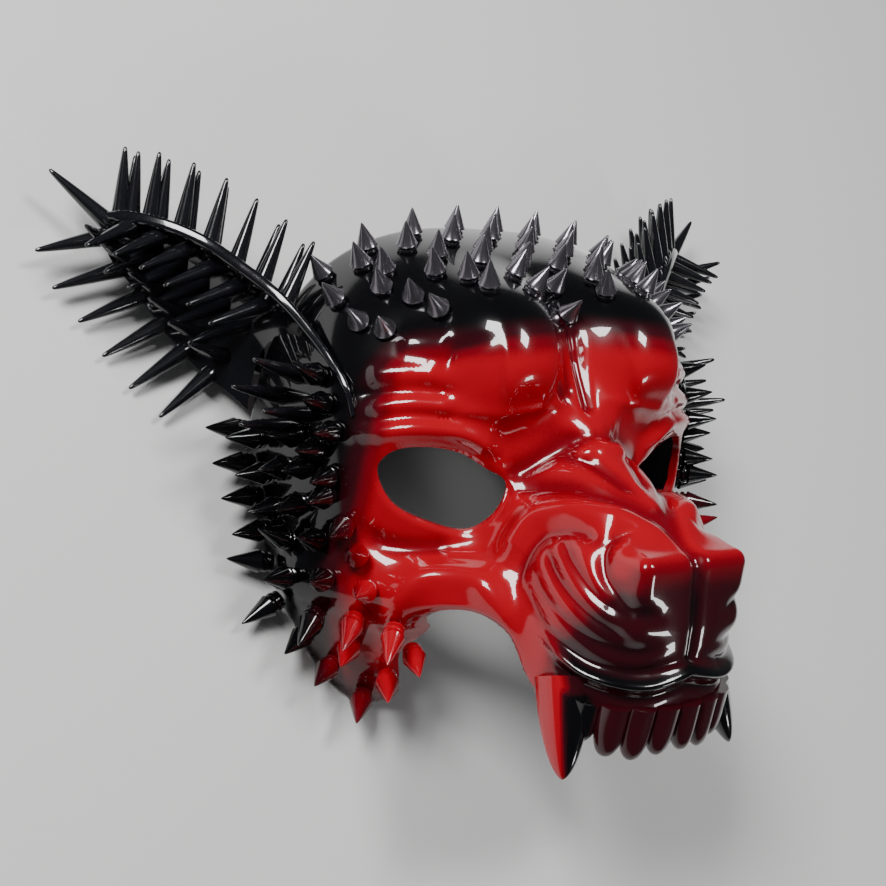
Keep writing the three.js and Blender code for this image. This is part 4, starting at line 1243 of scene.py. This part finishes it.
@dataclass
class Mask:
    """The whole mask: its sub-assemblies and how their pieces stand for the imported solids."""

    form: HeadForm
    shell: FaceShell
    ear: Ear
    studs: StudRows
    shift: float = 0.0
    ear_root_depth: float = 0.15  # how far the ears reach into the shell
    lacquer: bpy.types.Material | None = None
    ear_black: bpy.types.Material | None = None
    spike_black: bpy.types.Material | None = None
    plated: bpy.types.Material | None = None

    # profiles of the turned pieces, as radius and height
    spike_turned: ClassVar[Turned] = Turned(
        [(2.9, -1.5), (3.0, 0.0), (2.92, 0.5), (2.5, 5.0), (2.0, 10.2), (1.42, 15.6), (0.85, 20.3),
         (0.62, 21.5), (0.3, 21.95)], 16)
    crown_turned: ClassVar[Turned] = Turned(
        [(2.4, -1.6), (3.0, -0.1), (3.0, 0.4), (2.4, 0.7), (2.4, 1.1), (3.4, 1.3), (3.5, 1.6), (3.2, 2.0),
         (2.25, 4.4), (1.25, 6.8), (0.5, 8.7), (0.18, 9.3)], 20)
    ringed_turned: ClassVar[Turned] = Turned(
        [(2.7, 0.0), (3.1, 0.2), (3.15, 0.9), (2.6, 1.2), (2.6, 1.6), (3.3, 1.9), (3.45, 2.5), (3.3, 3.1),
         (2.8, 3.4), (2.8, 3.8), (3.5, 4.1), (3.7, 4.5), (3.55, 4.9), (2.5, 8.2), (1.3, 12.0), (0.45, 14.4),
         (0.18, 14.95)], 18)
    spike_height: float = 22
    cheek_lift: float = SEAT_GAP + 1.1

    def find_shift(self) -> float:
        """How far the mask moved along y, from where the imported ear's farthest spike tip is."""
        seats = self.ear.seats(self.form, 1, self.ear.rows)
        tips = np.array([foot + self.spike_height * unit(way) for foot, way in seats])
        farthest = (tips[:, 1] * math.cos(LIE_TILT) - tips[:, 2] * math.sin(LIE_TILT)).max()
        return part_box("ear_left")[1].y / MM - farthest

    def finish_piece(self, piece: bpy.types.Object, material: bpy.types.Material,
                     nodes: list) -> None:
        """Dresses a piece, lays it down and ties it to the frame.

        Args:
            piece: the piece, in the face frame.
            material: its finish.
            nodes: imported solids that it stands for.
        """
        points = positions(piece.data)
        cover = spray_cover(points)
        # The shell's lining takes full black: painted shade for its dark inside
        if "lining" in piece.data.attributes:
            cover = np.maximum(cover, painted(piece, "lining"))
        paint(piece, "cover", cover)
        settle(piece, self.shift)
        piece.data.materials.clear()
        piece.data.materials.append(material)
        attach(piece, "root")
        if nodes:
            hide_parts(*nodes)
        LOG.info("%s: %d faces, %d vertices", piece.name, len(piece.data.polygons), len(piece.data.vertices))

    def build(self) -> None:
        """Builds every piece in order."""
        self.shift = self.find_shift()
        self.lacquer = SprayedLacquer().material()
        self.ear_black = BlackGloss("black_gloss_lacquer_on_resin").material()
        moulded = BlackGloss("moulded_black_abs", "#0b0b0e", "#16161b", (0.16, 0.30), 4, 0.02)
        self.spike_black = moulded.material()
        self.plated = PlatedStud().material()
        self.finish_piece(self.shell.build(), self.lacquer, ["face_shell"])
        crown = self.crown_turned.build("crown_studs", self.studs.crown_seats(self.form))
        self.finish_piece(crown, self.plated, ["face_shell"])
        for side, word in ((1, "left"), (-1, "right")):
            self.build_ear(side, word)
            self.build_temple(side, word)
            self.build_cheek(side, word)

    def build_ear(self, side: int, word: str) -> None:
        """Builds one ear's leaf and its spikes."""
        leaf = self.ear.leaf(side)
        leaf.name = f"leaf_of_{word}_ear"
        combine(leaf, self.shell.full_head(-self.ear_root_depth), "DIFFERENCE")
        combine(leaf, self.shell.ground_block(), "DIFFERENCE")
        self.finish_piece(leaf, self.ear_black, [f"ear_{word}"])
        seats = self.ear.seats(self.form, side, (*self.ear.rows, self.ear.row_between))
        spikes = self.spike_turned.build(f"spikes_of_{word}_ear", seats)
        self.finish_piece(spikes, self.spike_black, [f"ear_{word}"])

    def build_temple(self, side: int, word: str) -> None:
        """Builds the ringed studs and the long spikes behind one temple."""
        seats = self.studs.side_seats(self.form, self.studs.temple_studs, side, -1)
        studs = self.ringed_turned.build(f"temple_studs_{word}", seats)
        self.finish_piece(studs, self.lacquer, ["face_shell"])
        seats = self.studs.side_seats(self.form, self.studs.temple_spikes, side, 0)
        spikes = self.spike_turned.build(f"temple_spikes_{word}", seats)
        self.finish_piece(spikes, self.spike_black, ["face_shell"])

    def build_cheek(self, side: int, word: str) -> None:
        """Builds one cheek's studs, each its own piece."""
        seats = self.studs.side_seats(self.form, self.studs.cheek, side, self.cheek_lift)
        for number, seat in enumerate(seats, 1):
            stud = self.ringed_turned.build(f"ringed_stud_{word}_{number:02d}", [seat])
            self.finish_piece(stud, self.lacquer, [f"cheek_stud_{word}_{number:02d}"])


@dataclass
class Studio:
    """A plain pale floor, soft lights and the photograph's camera."""

    eye: Place = (-260.377, 99.0, 382.04)  # camera in the face frame
    target: Place = (-25.46, -10.74, 46.55)
    up: Place = (0.03482, 0.95682, -0.2886)
    lens: float = 52.82
    floor_colour: str = "#d9d9d8"

    def camera(self, shift: float) -> None:
        """Places the camera where the photograph was taken from, turned down with the mask."""
        data = bpy.data.cameras.new("camera")
        data.lens, data.sensor_width, data.sensor_fit = self.lens, 36, "AUTO"
        data.clip_start, data.clip_end = 0.01, 20
        camera = bpy.data.objects.new("camera", data)
        eye, target = lie_down(np.array([self.eye, self.target]), shift)
        above = lie_down(np.array(self.eye) + 100 * np.array(self.up), shift) - eye
        back = unit(eye - target)
        right = unit(np.cross(above, back))
        axes = np.stack([right, np.cross(back, right), back], -1)
        matrix = np.eye(4)
        matrix[:3, :3], matrix[:3, 3] = axes, eye
        camera.matrix_world = Matrix(matrix)
        bpy.context.scene.collection.objects.link(camera)
        bpy.context.scene.camera = camera

    def floor(self) -> None:
        """A pale matt floor."""
        half = 2.5
        corners = np.array([(-half, -half, 0), (half, -half, 0), (half, half, 0), (-half, half, 0)])
        mesh = bpy.data.meshes.new("floor")
        mesh.from_pydata(corners.tolist(), [], [(0, 1, 2, 3)])
        floor = bpy.data.objects.new("floor", mesh)
        bpy.context.scene.collection.objects.link(floor)
        material, tree = new_material("pale_matt_floor")
        shader = add_node(tree, "ShaderNodeBsdfPrincipled",
                          {"Base Color": linear(self.floor_colour), "Roughness": 0.85})
        add_node(tree, "ShaderNodeOutputMaterial", links={"Surface": shader.outputs[0]})
        mesh.materials.append(material)

    def light(self, name: str, place: Place, size: tuple[float, float], power: float) -> None:
        """A soft box at a place, in metres, that faces the mask."""
        data = bpy.data.lights.new(name, "AREA")
        data.shape, data.size, data.size_y, data.energy = "RECTANGLE", size[0], size[1], power
        lamp = bpy.data.objects.new(name, data)
        way = unit(np.array(place) - np.array([0, 0, 0.05]))
        right = unit(np.cross([0, 0, 1], way))
        matrix = np.eye(4)
        matrix[:3, :3], matrix[:3, 3] = np.stack([right, np.cross(way, right), way], -1), place
        lamp.matrix_world = Matrix(matrix)
        bpy.context.scene.collection.objects.link(lamp)

    def build(self, shift: float) -> None:
        """Sets up the floor, the lights, the surroundings and the camera."""
        self.floor()
        self.light("window_left", (-0.66, 0.42, 0.78), (0.42, 0.3), 13)
        self.light("box_above", (0.25, 0.3, 1.15), (0.26, 0.26), 7)
        self.light("box_front", (0.5, -0.9, 0.7), (0.2, 0.2), 2.5)
        world = bpy.data.worlds.new("studio")
        world.use_nodes = True
        world.node_tree.nodes["Background"].inputs["Color"].default_value = linear("#c9ccd2")
        world.node_tree.nodes["Background"].inputs["Strength"].default_value = 0.1
        bpy.context.scene.world = world
        self.camera(shift)


def main() -> None:
    """Builds the mask and the studio."""
    logging.basicConfig(level=logging.INFO, format="%(message)s")
    form = HeadForm()
    mask = Mask(form, FaceShell(form), Ear(), StudRows())
    mask.build()
    Studio().build(mask.shift)


if __name__ == "__main__":
    main()
